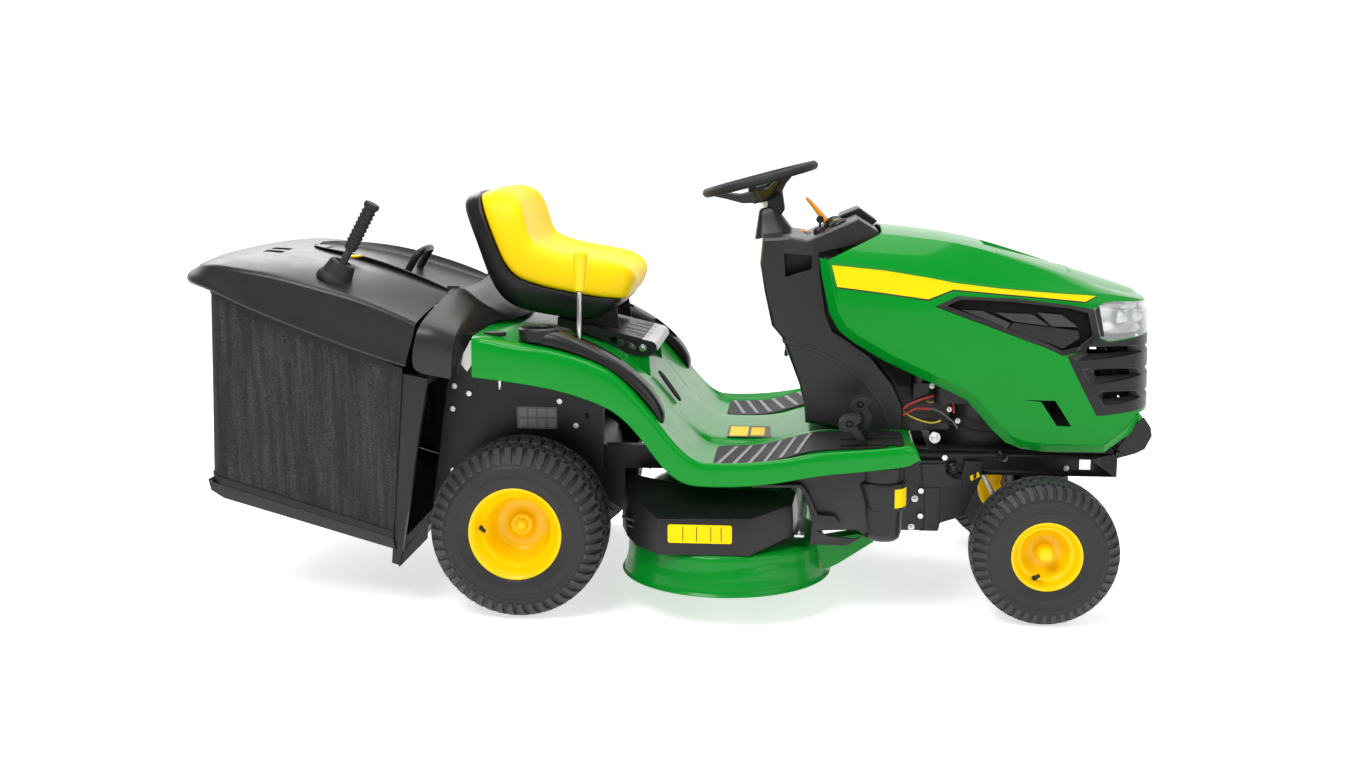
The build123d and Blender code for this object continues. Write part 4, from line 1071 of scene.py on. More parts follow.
def make_mats():
    """Ribbed rubber mats on both footrests with lighter diagonal strips."""
    for side, sign in SIDES:
        xs = (486, 520, 560, 600, 640, 680, 715, 745, 800, 860, 915, 955)
        outer = [432] * 10 + [420, 396]
        inner = [214, 206, 206, 206, 206, 206, 208, 216, 216, 216, 222, 236]
        rows = []
        for x, y_in, y_out in zip(xs, inner, outer):
            rows.append(
                [
                    at(
                        x, sign * mix(y_in, y_out, s), floor_height(x) + 3.4,
                    ) for s in (0, 0.25, 0.5, 0.75, 1)
                ]
            )
        mat = skin(f"foot_mat_{side}", rows)
        smoothed(mat)
        walled(mat, 3.5)
        for y in PEDAL_YS:
            cut(mat, box("pedal_slot", (800, 936), (y - 12, y + 12), (380, 500)))
        dress(mat, RUBBER, "chassis", "black_rubber", ["footrest_mats"] if sign < 0 else [], bevel=0.8)
        strips = []
        for k in range(6):
            start = 500 + 38 * k
            ribbon = []
            for along in (0, 0.25, 0.5, 0.75, 1):
                x = start + 36 * along
                y = sign * mix(422, 222, along)
                ribbon.append(
                    [at(x - 5, y, floor_height(x - 5) + 6.2), at(x + 5, y, floor_height(x + 5) + 6.2)]
                )
            strips.append(skin("strip", ribbon))
        ribs = gathered(f"mat_strips_{side}", strips)
        walled(ribs, 1.6)
        dress(ribs, STRIPE, "chassis", "black_rubber")


def make_consoles():
    """Moulded trays on the fenders: cup holder and lever slot on the right, a plain tray on the left."""
    line = (
        (14, 726, 690), (60, 729, 688), (103, 727, 680), (150, 708, 668), (207, 682, 648), (264, 650, 612),
        (318, 604, 562), (350, 566, 516), (368, 528, 490),
    )
    for side, sign in SIDES:
        rows = []
        for k, (x, top, low) in enumerate(line):
            wide = (30, 50, 52, 50, 48, 46, 44, 40, 30)[k]
            mid = sign * (404 + 2 * max(0, k - 2))
            rows.append(
                [
                    at(x, mid - wide - 4, low - 6), at(x, mid - wide, mix(low, top, 0.6)),
                    at(x, mid - wide + 8, top - 2), at(x, mid - wide * 0.4, top),
                    at(x, mid + wide * 0.4, top), at(x, mid + wide - 8, top - 2),
                    at(x, mid + wide, mix(low, top, 0.6)), at(x, mid + wide + 4, low - 6),
                ]
            )
        tray = skin("tray", rows, closed=True, caps=True)
        smoothed(tray)
        tray.name = f"fender_tray_{side}"
        if sign < 0:
            cut(tray, rod("cup", at(CUP_X, CUP_Y, 694), at(CUP_X, CUP_Y, 760), 37))
            cut(tray, box("slot", (140, 258), (-408, -392), (600, 740)))
            groove = prism("groove", [(190, 684), (196, 700), (330, 604), (322, 592)], -392, -372)
            cut(tray, groove)
        else:
            cut(tray, prism("groove", [(120, 706), (126, 726), (330, 610), (322, 592)], 378, 428))
        dress(tray, BLACK, "chassis", "black_plastic", ["fender_consoles"] if sign < 0 else [], bevel=1.5)
    ring = turned(
        "cup_ring", [(38, -30), (37, -31), (37, 3), (40, 7), (47, 8), (53, 3), (53, -24), (50, -26)],
        at(CUP_X, CUP_Y, 724), (0, 0, 1), 64,
    )
    dress(ring, BLACK, "chassis", "black_plastic", bevel=1.0)
    base = turned(
        "cup_base", [(0, 0), (40, 0), (40, 3), (0, 3)], at(CUP_X, CUP_Y, 692), (0, 0, 1), 48, looped=False,
    )
    dress(base, BLACK, "chassis", "black_plastic")
    for side, sign in SIDES:
        pad = [
            (-84 + 29 + 29 * math.cos(a), 10 * math.sin(a)) for a in [math.pi * k / 12 for k in range(24)]
        ]
        cap = prism("cap", [(x, sign * 400 + y * 1.4) for x, y in pad], 708, 717, axis="z")
        cap.name = f"fender_cap_{side}"
        dress(cap, BLACK, "chassis", "black_plastic", bevel=1.5)
    loop = []
    for k in range(20):
        a = 2 * math.pi * k / 20
        along = 44 * math.cos(a)
        loop.append(at(350 + 0.62 * along, -96 + 13 * math.sin(a), 530 - 0.86 * along + 5))
    grip = tube("fender_slot_rim", loop, 4, cyclic=True)
    dress(grip, BLACK, "chassis", "black_plastic")
    # The slot's inside is painted shade: a near-black sheet filling the opening.
    inside = mesh_object("fender_slot", loop, [tuple(range(len(loop)))])
    modify(inside, "SOLIDIFY", thickness=1.5 * MM, offset=0)
    dress(settle(inside), SHADE_BLACK, "chassis", "black_plastic")
    plate = prism("tunnel_plate", [(506, -158), (506, -16), (660, -16), (646, -158)], 411.5, 413, axis="z")
    dress(plate, BROWN, "chassis", None)
    for k, (a, b, y1, y2) in enumerate(((512, 560, -150, -30), (568, 604, -140, -40))):
        spot = prism(f"tunnel_label_{k}", [(a, y1), (a, y2), (b, y2), (b, y1)], 412.8, 413.8, axis="z")
        dress(spot, LABEL, "chassis", "yellow_plastic")


# ---------------------------------------------------------------- console, dash and steering
CONSOLE = [
    (596, 938), (590, 872), (602, 800), (621, 712), (648, 680), (666, 633), (694, 560), (708, 505),
    (711, 458), (852, 440), (960, 428), (964, 499), (940, 556), (884, 630), (822, 676), (786, 702),
    (762, 750), (744, 850), (738, 926), (700, 936), (660, 941),
]


def make_console():
    """The black pedestal that carries the dash."""
    half = 198
    rows = []
    for y, shrink in (
        (-half, 10), (-half + 8, 2), (-half + 20, 0), (half - 20, 0), (half - 8, 2), (half, 10),
    ):
        centre = (740, 690)
        row = []
        for x, z in CONSOLE:
            away = Vector((centre[0] - x, centre[1] - z)).normalized() * shrink
            row.append(at(x + away.x, y, z + away.y))
        rows.append(row)
    tower = skin("console_body", rows, closed=True, caps=True)
    pocket = [(656, 838), (652, 898), (722, 893), (722, 858)]
    cut(tower, prism("pocket", pocket, -240, -120))
    cut(tower, prism("pocket_left", pocket, 120, 240))
    dress(tower, GREY, "chassis", "grey_plastic", ["console_tower"], bevel=3, segments=3)
    ridge = [(648, 680), (700, 668), (770, 640), (850, 590), (910, 520), (930, 450), (922, 449), (900, 512),
             (842, 582), (764, 632), (696, 660), (652, 668)]
    for side, sign in SIDES:
        near, far = (half - 3, half + 1.5) if sign > 0 else (-half - 1.5, -half + 3)
        dress(prism(f"console_ridge_{side}", ridge, near, far), GREY, "chassis", "grey_plastic", bevel=1.4)
        panel = prism(f"console_panel_{side}", [(652, 899), (650, 934), (728, 926), (728, 894)], near, far)
        dress(panel, GREY, "chassis", "grey_plastic", bevel=1.4)
        wing = prism(
            f"console_wing_{side}",
            [
                (752, 892), (756, 850), (778, 758), (804, 715), (838, 690), (930, 640), (940, 652),
                (850, 706), (812, 764), (790, 892),
            ],
            *band_of(sign, 190, 262),
        )
        dress(wing, BLACK, "chassis", "black_plastic", bevel=1.0)
        # The fillers are painted shade: near-black blocks in the gaps beside the wings.
        inner = prism(
            f"console_filler_{side}",
            [
                (726, 930), (732, 850), (752, 752), (780, 706), (830, 672), (920, 600), (946, 560),
                (980, 560), (980, 650), (850, 720), (800, 892), (770, 930),
            ],
            *band_of(sign, 120, 194),
        )
        dress(inner, SHADE_BLACK, "chassis", "black_plastic")
    skirt = prism("column_foot", [(655, 640), (652, 610), (660, 606), (676, 636)], -30, 30)
    dress(skirt, BLACK, "chassis", "black_plastic", bevel=2)


def make_dash():
    """The dash top with its boot, dome, collars and labels."""
    top = [(664, 941), (711, 933), (836, 988), (888, 956), (892, 936), (850, 926), (738, 900), (664, 925)]
    rows = []
    for y, drop in ((-197, 5), (-192, 1), (-180, 0), (180, 0), (192, 1), (197, 5)):
        rows.append([at(x, y, z - drop * (z > 930)) for x, z in top])
    dash = skin("dash_body", rows, closed=True, caps=True)
    cut(dash, box("slot", (741, 813), (-45, -35), (940, 1000)))
    cut(dash, rod("key_bore", at(742, -110, 925), at(742, -110, 1000), 5.4))
    cut(dash, rod("switch_bore", at(790, -110, 925), at(790, -110, 1010), 6.4))
    dress(dash, GREY, "chassis", "grey_plastic", ["dash_panel"], bevel=3, segments=3)
    rows = []
    axis_top, axis_low = WHEEL_CENTRE - COLUMN * 76, WHEEL_CENTRE - COLUMN * 150
    for share, wide, deep in (
        (0, 52, 52), (0.1, 50, 50), (0.80, 29, 28), (0.93, 25, 24), (1, 19, 18), (1, 12, 12),
    ):
        centre = axis_low.lerp(axis_top, share)
        ring = []
        for k in range(32):
            a = 2 * math.pi * (k + 0.5) / 32
            c, s = math.cos(a), math.sin(a)
            c, s = math.copysign(abs(c) ** 0.5, c), math.copysign(abs(s) ** 0.5, s)
            ring.append(at(*(centre + ACROSS * (deep * c) + Vector((0, wide * s, 0)))))
        rows.append(ring)
    boot = skin("column_boot", rows, closed=True)
    dress(boot, GREY, "chassis", "grey_plastic", bevel=1.2)
    dome = turned(
        "throttle_dome", [(0, 22), (10, 21), (20, 16), (27, 8), (30, 0), (30, -6), (0, -6)],
        at(778, -40, 962), (-0.4, 0, 0.92), 40, looped=False,
    )
    cut(dome, box("slot", (741, 813), (-45.5, -34.5), (940, 1010)))
    dress(dome, BLACK, "chassis", "black_plastic")
    lid = prism(
        "dash_lid", [(792, 975), (796, 984), (845, 1004), (896, 968), (880, 957), (836, 984)], 10, 150,
    )
    dress(lid, BLACK, "chassis", "black_plastic", bevel=3)
    plinth = turned(
        "key_plinth", [(10, 14), (12.5, 13), (15, 9), (17, 0), (17, -8), (10, -8)], at(742, -110, 946),
        (-0.35, 0, 0.93), 40,
    )
    dress(plinth, BLACK, "chassis", "black_plastic")
    collar = turned(
        "switch_collar", [(8, 12), (18, 11), (22, 6), (23, 0), (23, -8), (8, -8)], at(790, -110, 966),
        (-0.35, 0, 0.93), 40,
    )
    dress(collar, BLACK, "chassis", "black_plastic")
    for k, (x, y, z) in enumerate(((700, 90, 936), (700, 60, 936), (716, 40, 937))):
        strip = prism(
            f"dash_label_{k}", [(x - 10, y - 10), (x - 10, y + 10), (x + 10, y + 10), (x + 10, y - 10)],
            z, z + 2, axis="z",
        )
        dress(strip, ORANGE, "chassis", "orange_plastic")


WHEEL_CENTRE = Vector((583, 0, 1079))
COLUMN = Vector((-0.2548, 0, 0.967)).normalized()
ACROSS = Vector((0.967, 0, 0.2548)).normalized()


def on_wheel(across, along, up):
    """A point measured on the steering wheel: towards the front, to the left and along the column."""
    return at(*(WHEEL_CENTRE + ACROSS * across + Vector((0, along, 0)) + COLUMN * up))


def make_steering():
    """The steering wheel, its hub, spokes and collar."""
    ring_r = 145
    rows = []
    for k in range(96):
        a = 2 * math.pi * k / 96
        ring = []
        for m in range(16):
            b = 2 * math.pi * m / 16
            dent = 1.0 + 0.04 * math.cos(6 * b)
            r = ring_r + 13 * math.cos(b) * dent
            ring.append(on_wheel(r * math.cos(a), r * math.sin(a), 12 * math.sin(b) * dent))
        rows.append(ring)
    rim = skin("steering_rim", rows + rows[:1], closed=True)
    dress(rim, RUBBER, "steering", "black_rubber", ["steering_wheel"], sharp=60)
    for k, angle in enumerate((180, -58, 58)):
        c, s = math.cos(math.radians(angle)), math.sin(math.radians(angle))
        rows = []
        for out, wide, low, high in (
            (24, 30, -58, -24), (60, 22, -50, -24), (104, 18, -26, -8), (140, 26, -8, 5),
        ):
            section = (
                (-wide, high - 3), (-wide * 0.55, high), (wide * 0.55, high), (wide, high - 3),
                (wide * 0.8, low), (-wide * 0.8, low),
            )
            rows.append([on_wheel(out * c - w * s, out * s + w * c, up) for w, up in section])
        spoke = skin("spoke", rows, closed=True, caps=True)
        spoke.name = f"steering_spoke_{k}"
        dress(spoke, BLACK, "steering", "black_plastic", bevel=3, segments=3)
    rows = []
    for up, radius in ((-60, 34), (-56, 38), (-30, 42), (-16, 40), (-10, 34), (-8, 20)):
        rows.append(
            [
                on_wheel(
                    radius * math.cos(math.pi * (k + 0.5) / 4),
                    radius * math.sin(math.pi * (k + 0.5) / 4), up,
                ) for k in range(8)
            ]
        )
    hub = skin("steering_hub", rows, closed=True, caps=True)
    dress(hub, BLACK, "steering", "black_plastic", bevel=3, segments=3)
    tongue = prism(
        "steering_hub_back",
        [(598, 1068), (640, 1068), (650, 1000), (640, 985), (622, 1002), (604, 1010)], -24, 24,
    )
    dress(tongue, BLACK, "steering", "black_plastic", bevel=3)
    nut = turned(
        "steering_collar", [(10, 0), (15, 0), (15, 12), (10, 12)], on_wheel(0, 0, -72), tuple(COLUMN), 6,
    )
    dress(nut, ZINC, "steering", "zinc_steel", bevel=1)
    refine("steering_shaft", ZINC, 1.0)



# ---------------------------------------------------------------- seat
CUSHION = (
    ((250, 780), (268, 806), 150), ((241, 774), (264, 844), 185), ((205, 778), (232, 866), 205),
    ((160, 783), (180, 878), 214), ((85, 797), (107, 888), 218), ((30, 808), (50, 900), 218),
    ((-15, 822), (5, 916), 218), ((-44, 835), (-8, 937), 216), ((-73, 870), (-17, 964), 212),
    ((-96, 924), (-26, 1002), 205), ((-125, 992), (-40, 1036), 190), ((-138, 1030), (-64, 1054), 165),
    ((-145, 1047), (-104, 1061), 125),
)
PAN = (
    ((246, 776), (240, 764), 176), ((205, 780), (200, 742), 194), ((160, 785), (158, 716), 206),
    ((85, 799), (86, 724), 212), ((30, 810), (36, 732), 212), ((-15, 824), (-24, 741), 212),
    ((-44, 837), (-82, 766), 210), ((-73, 872), (-118, 826), 206), ((-96, 926), (-142, 900), 200),
    ((-125, 994), (-172, 972), 186), ((-136, 1030), (-192, 1018), 164), ((-146, 1050), (-178, 1046), 130),
)


def seat_loft(name, stations, section):
    """A loft whose rings run from a lower to an upper line.

    section gives each ring's points as (side inset, share of the height).
    """
    rows = []
    for low, high, half in stations:
        right = []
        for inset, share in section:
            x, z = mix(low, high, share)
            right.append(at(x, -max(0, half - inset) if inset < 900 else 0, z))
        left = [Vector((q.x, -q.y, q.z)) for q in reversed(right[1:-1])]
        rows.append(right + left)
    return skin(name, rows, closed=True, caps=True)


def make_seat():
    """The padded cushion in its black pan."""
    middle = 999
    cushion = seat_loft(
        "seat_pad", CUSHION,
        (
            (middle, 0.0), (60, 0.0), (6, 0.0), (-2, 0.14), (0, 0.52), (7, 0.90), (26, 1.06), (54, 1.03),
            (84, 0.94), (130, 0.90), (middle, 0.885),
        ),
    )
    smoothed(cushion)
    dress(cushion, VINYL, "seat", "yellow_vinyl", ["seat_cushion"], sharp=60)
    pan = seat_loft(
        "seat_shell", PAN,
        (
            (middle, 0.06), (20, 0.05), (-4, 0.0), (-5, 0.08), (-1, 0.42), (8, 0.80), (30, 1.0),
            (90, 1.04), (middle, 1.06),
        ),
    )
    smoothed(pan)
    dress(pan, BLACK, "seat", "black_plastic", ["seat_pan"], sharp=60)
    make_seat_channel()


def channel_height(x):
    """The seat channel's height at a distance along it."""
    return 683 - 0.24 * (x - 228)


def make_seat_channel():
    """The folded channel under the seat, which turns with it on two ears standing on the fender deck."""
    side_line = [
        (60, 722), (228, 682), (312, 662), (321, 654), (322, 642), (306, 625), (276, 622), (243, 632),
        (192, 660), (120, 688), (60, 700),
    ]
    slots = [
        prism("slot", [(x1, y - 5), (x1, y + 5), (296, y + 5), (296, y - 5)], 600, 760, axis="z")
        for y, x1 in ((-116, 262), (-84, 238), (-34, 226), (34, 226), (84, 238), (116, 262))
    ]
    plates = []
    for sign in (-1, 1):
        flange = prism("flange", side_line, *band_of(sign, 154.5, 157.5))
        near, far = band_of(sign, 140, 170)
        cut(
            flange, rod("bore", at(285, near, 645), at(285, far, 645), 8.6),
            prism(
                "hole", [(196, 668), (207, 673), (226, 668), (238, 661), (232, 651), (216, 650)], near,
                far,
            ),
            prism(
                "hole", [(243, 663), (252, 660), (268, 647), (266, 641), (240, 646), (248, 653)], near,
                far,
            ),
        )
        plates.append(flange)
        web = prism(
            "web", [(120, 726), (214, 748), (222, 690), (120, 712)], *band_of(sign, 128, 132),
        )
        plates.append(web)
    top = prism(
        "top",
        [(x, channel_height(x)) for x in (60, 172, 284)] + [
            (284, channel_height(284) - 2.5), (60, channel_height(60) - 2.5),
        ],
        -157.5, 157.5,
    )
    nose_line = [
        (284, 669.6), (309, 663.6), (318, 659), (323, 651), (325, 640), (322.4, 640), (320.6, 650),
        (316, 657), (308, 661), (284, 667),
    ]
    nose = prism("seat_channel_nose", nose_line, -157.5, 157.5)
    cut(top, *[duplicate(slot, "slot_copy") for slot in slots])
    cut(nose, *slots)
    channel = join(top, *plates)
    channel.name = "seat_channel"
    dress(channel, STEEL, "seat", "black_plastic", bevel=0.8)
    # The nose is pale: a painted reflection on the black channel's front lip.
    dress(nose, HIGHLIGHT_PALE, "seat", "black_plastic", bevel=0.8)
    ears = []
    for sign in (-1, 1):
        ear = prism(
            "ear",
            [
                (246, 622), (262, 634), (268, 650), (276, 659), (294, 659), (301, 650), (302, 600),
                (306, 570),
            ],
            *band_of(sign, 147, 152),
        )
        ears.append(ear)
    pin = rod("pin", at(285, -154, 645), at(285, 154, 645), 8)
    bracket = join(ears[0], ears[1], pin)
    bracket.name = "seat_ears"
    dress(bracket, GREEN_PAINT, "chassis", "green_paint", ["seat_bracket"], bevel=0.8)
    for side, sign in SIDES:
        bolt(f"seat_pivot_{side}", at(285, sign * 157.7, 645), (0, sign, 0), 10, "chassis")


def bolt(name, base, axis, across, body):
    """A washer-faced hexagon head with a short point of thread."""
    direction = Vector(axis)
    washer = turned(
        name, [(0, 0), (across * 0.95, 0), (across, 0.6), (across * 0.95, 1.8), (0, 1.8)], base, axis, 32,
        looped=False,
    )
    head = turned(
        "head",
        [
            (0, 1.4), (across * 0.66, 1.4), (across * 0.66, across * 0.55),
            (across * 0.55, across * 0.64), (0, across * 0.64),
        ],
        base, axis, 6, looped=False,
    )
    point = rod("point", base, base + direction * across * 0.95 * MM, across * 0.30)
    dress(join(washer, head, point), ZINC, body, "zinc_steel", bevel=0.4)


# ---------------------------------------------------------------- grass collector
LID_X = (
    (-268, -390, -500, -610, -700, -765, -810, -850, -880, -905, -915),
    (-243, -360, -480, -600, -690, -745, -785, -820, -850, -872, -880),
    (-208, -340, -460, -580, -660, -710, -742, -770, -790, -800, -805),
    (-199, -330, -450, -560, -620, -660, -690, -710, -725, -735, -740),
)
LID_Y = (
    (448, 449, 450, 450, 449, 440, 415, 360, 270, 140, 0),
    (436, 438, 440, 440, 436, 420, 392, 335, 250, 130, 0),
    (250, 255, 262, 268, 270, 262, 240, 200, 150, 80, 0),
    (0, 0, 0, 0, 0, 0, 0, 0, 0, 0, 0),
)
LID_Z = (
    (636, 676, 716, 757, 796, 826, 833, 836, 838, 840, 842),
    (743, 796, 828, 860, 872, 880, 878, 874, 870, 868, 866),
    (790, 838, 868, 886, 892, 896, 896, 896, 894, 893, 893),
    (806, 850, 880, 893, 898, 901, 902, 902, 902, 902, 902),
)


CHANNEL = (
    (-196, 212, 776, 18), (-240, 208, 790, 24), (-300, 198, 812, 26), (-380, 182, 838, 26),
    (-450, 164, 858, 24), (-520, 142, 873, 20), (-570, 118, 883, 15), (-610, 80, 893, 9),
    (-628, 30, 898, 5),
)


def lid_row(level, upper=None, share=0.0, out=0.0, lift=0.0):
    """The lid's line at a level, or part of the way to an upper one.

    It runs from the front right round to the front left.
    """
    upper = level if upper is None else upper
    right = []
    for k in range(11):
        x = mix(LID_X[level][k], LID_X[upper][k], share)
        y = mix(LID_Y[level][k], LID_Y[upper][k], share)
        z = mix(LID_Z[level][k], LID_Z[upper][k], share)
        lean = math.hypot(max(0, -x - 640), y) or 1
        right.append((x - out * max(0, -x - 640) / lean, y + out * y / lean, z + lift))
    return [at(x, -y, z) for x, y, z in right] + [at(x, y, z) for x, y, z in reversed(right[:-1])]


def make_lid():
    """The collector's moulded lid, its vents and its lift handle."""
    rows = [
        lid_row(0, out=0, lift=-4), lid_row(0, out=3, lift=2), lid_row(0, out=0, lift=14),
        lid_row(0, 1, 0.55, 2), lid_row(0, 1, 0.92, 2), lid_row(1, 2, 0.03), lid_row(1, 2, 0.5, lift=5),
        lid_row(1, 2, 0.94), lid_row(2, 3, 0.06), lid_row(2, 3, 0.5, lift=2), lid_row(3),
    ]
    lid = skin("collector_hood", rows, creased={1: 0.6, 4: 0.5, 5: 0.7, 7: 0.5, 8: 0.5})
    smoothed(lid)
    thicken(lid, 4, -1)
    plan = []
    bed_rows = []
    for x, half, z, wall in CHANNEL:
        plan.append((x, half, z + 1))
        right = [
            at(x, -half - 3, z + wall), at(x, -half + 3, z + 0.6 * wall), at(x, -half + 12, z + 3),
            at(x, -half + 24, z), at(x, -half * 0.5, z - 2), at(x, 0, z - 3),
        ]
        bed_rows.append(right + [Vector((q.x, -q.y, q.z)) for q in reversed(right[:-1])])
    line = [(x, -y, z) for x, y, z in plan] + [(x, y, z) for x, y, z in reversed(plan)]
    hollow = skin(
        "hollow", [[at(x, y, z) for x, y, z in line], [at(x, y, 1000) for x, y, z in line]], closed=True,
        caps=True,
    )
    cut(lid, hollow)
    bed = thicken(smoothed(skin("lid_channel", bed_rows), 1), 3)
    dress(bed, GREY, "collector", "grey_plastic", bevel=0.6)
    cut(
        lid, box("vent", (-700, -650), (-226, -190), (880, 930)),
        box("vent", (-700, -650), (-170, -134), (880, 930)),
    )
    dress(lid, GREY, "collector", "grey_plastic", ["collector_lid"], bevel=1.0)
    # The vent floors are painted shade: near-black sheets in the vent openings.
    for k, y in enumerate((-208, -152)):
        tray = prism(f"lid_vent_{k}", [(-704, 884), (-646, 884), (-646, 887), (-704, 887)], y - 20, y + 20)
        dress(tray, SHADE_BLACK, "collector", "grey_plastic")
    handle = tube(
        "lid_handle",
        [
            at(-368, -64, 822), at(-352, -64, 850), at(-336, -63, 876), at(-326, -54, 887),
            at(-322, 0, 890), at(-326, 54, 887), at(-336, 63, 876), at(-352, 64, 850), at(-368, 64, 822),
        ],
        10,
    )
    dress(handle, BLACK, "collector", "black_plastic")
    mark = prism("lid_mark", [(-470, -236), (-470, -206), (-440, -206), (-446, -236)], 884, 888, axis="z")
    dress(mark, LABEL, "collector", "yellow_plastic")


SHROUD = (
    (
        (-262, 436, 622), (-250, 438, 690), (-240, 432, 738), (-212, 330, 780), (-196, 262, 808),
        (-194, 236, 812), (-193, 205, 802), (-192, 90, 794), (-192, 0, 793),
    ),
    (
        (-215, 434, 612), (-205, 437, 690), (-196, 430, 732), (-180, 320, 776), (-170, 262, 808),
        (-167, 236, 812), (-165, 203, 796), (-162, 90, 786), (-161, 0, 785),
    ),
    (
        (-162, 426, 602), (-156, 430, 660), (-150, 422, 714), (-140, 318, 750), (-132, 258, 780),
        (-130, 232, 778), (-124, 196, 764), (-118, 90, 758), (-116, 0, 757),
    ),
    (
        (-158, 404, 602), (-148, 410, 655), (-141, 406, 704), (-124, 300, 732), (-102, 240, 752),
        (-94, 215, 748), (-82, 180, 738), (-72, 90, 734), (-68, 0, 733),
    ),
    (
        (-152, 398, 602), (-140, 400, 640), (-132, 396, 684), (-112, 290, 712), (-84, 230, 726),
        (-70, 205, 724), (-56, 180, 720), (-46, 90, 718), (-42, 0, 717),
    ),
)


def make_shroud():
    """The fixed cover between the lid and the seat, with a raised shoulder on each side."""
    rows = []
    for line in SHROUD:
        right = [at(x, -y, z) for x, y, z in line]
        rows.append(right + [Vector((q.x, -q.y, q.z)) for q in reversed(right[:-1])])
    cover = smoothed(skin("chute_cover", rows, creased={1: 0.3, 2: 0.7}))
    thicken(cover, 3.5, -1)
    dress(cover, GREY, "chassis", "grey_plastic", ["collector_shroud"], bevel=0.8, sharp=40)
    # The lining is painted shade: a near-black block that hides the gap under the cover.
    lining = box("chute_cover_lining", (-140, -72), (-384, 384), (650, 708))
    dress(lining, SHADE_BLACK, "chassis", "grey_plastic")
    # These faces are pale: a painted highlight on the cover's inner edge.
    for side, sign in SIDES:
        face = prism(
            f"chute_cover_inside_{side}",
            [(-148, 640), (-118, 694), (-80, 712), (-92, 676), (-112, 640), (-128, 616)],
            *band_of(sign, 392, 396),
        )
        dress(face, HIGHLIGHT_PALE, "chassis", "grey_plastic", bevel=0.8)


ACROSS_LEVER = Vector((0.8756, 0, -0.483))
BESIDE = Vector((0, 1, 0))


def lever_point(along):
    """A point on the dump lever's line."""
    return at(-462 + 0.483 * along, -360, 848 + 0.8756 * along)


def make_dump_lever():
    """The dump lever, its boot and its ribbed grip."""
    axis = (0.483, 0, 0.8756)
    boot = turned(
        "dump_lever_boot",
        [
            (47, -16), (47, -8), (45, -2), (41, 3), (39, 6), (33, 34), (31, 38), (27, 40), (21, 40),
            (19, 36), (14, 34), (14, -12),
        ],
        at(-462, -360, 848), axis, 48,
    )
    dress(boot, RUBBER, "collector", "black_rubber", bevel=0.8)
    rail = rod("dump_lever_rod", lever_point(-90), lever_point(80), 9.5)
    dress(rail, STEEL, "dump_lever", "black_steel", ["dump_lever"])
    rows = []

    def ring(radius, along):
        rows.append([])
        for k in range(6):
            for shift in (-16, 16):
                a = math.radians(60 * k + shift)
                rows[-1].append(
                    lever_point(
                        along
                    ) + ACROSS_LEVER * radius * math.cos(a) + BESIDE * radius * math.sin(a)
                )

    for radius, along in ((0.011, 74), (0.0145, 76), (0.0155, 80)):
        ring(radius, along)
    for k in range(9):
        base = 84 + 11.6 * k
        for radius, step in ((0.0150, 0), (0.0176, 1.2), (0.0176, 7.2), (0.0150, 8.4)):
            ring(radius, base + step)
    for radius, along in ((0.0158, 190), (0.0196, 194), (0.0200, 200), (0.0196, 205), (0.0170, 206)):
        ring(radius, along)
    grip = skin("dump_lever_grip", rows, closed=True, caps=True)
    dress(grip, RUBBER, "dump_lever", "black_rubber", bevel=0.8)


BAG_TOP_X = (-775, -722, -569, -422, -284)
BAG_TOP_Z = (826, 800, 732, 678, 626)


def bag_column(f, y):
    """The bag's lower and upper points a share of the way from its front edge to its rear."""
    x = mix(-284, -775, f)
    return (mix(-322, -794, f), y, mix(192, 331, f)), (x, y, between(x, BAG_TOP_X, BAG_TOP_Z))


def make_bag():
    """The fabric bag as one stretched sheet, with its hems."""
    columns = []
    for k in range(19):
        columns.append((k / 18 * 0.915, -421, 0))
    for k in range(1, 7):
        a = math.pi / 2 * k / 6
        columns.append((0.915 + 0.085 * math.sin(a), -421 + 41 * (1 - math.cos(a)), a))
    for k in range(1, 14):
        columns.append((1.0, -380 + 380 * k / 13, math.pi / 2))
    rows = []
    for t in [k / 16 for k in range(17)]:
        row = []
        for n, (f, y, turn) in enumerate(columns):
            low, high = bag_column(f, y)
            x, y, z = mix(low, high, t)
            hang = math.sin(math.pi * t) ** 0.8
            span = math.sin(math.pi * min(1, f / 0.93)) if turn == 0 else 0.25 + 0.75 * math.sin(
                math.pi * (y + 380) / 760
            )
            if 0 < turn < math.pi / 2:
                span = 0
            ripple = 1.6 * math.sin(n * 1.9 + 2.2 * t) + 1.2 * math.sin(n * 0.83 + 5.0 * t)
            dent = hang * (13 * span + ripple * (0.3 + span))
            row.append(at(x + dent * math.sin(turn), y + dent * math.cos(turn), z))
        rows.append(both_sides(row))
    bag = smoothed(skin("collector_bag_cloth", rows), 1)
    thicken(bag, 1.6)
    dress(bag, BAG, "collector", "bag_cloth", ["collector_bag"], sharp=70)
    for side, sign in SIDES:
        for name, share, wide in (("top", 0.985, 8), ("foot", 0.02, 9)):
            hem = []
            for f, y, turn in columns:
                low, high = bag_column(f, y)
                x, y, z = mix(low, high, share)
                spot = (x - 2.2 * math.sin(turn), y - 2.2 * math.cos(turn))
                hem.append([at(spot[0], -sign * spot[1], z - wide), at(spot[0], -sign * spot[1], z + wide)])
            band = thicken(skin(f"bag_hem_{name}_{side}", hem), 2.2)
            dress(band, RUBBER, "collector", "bag_cloth", bevel=0.5)


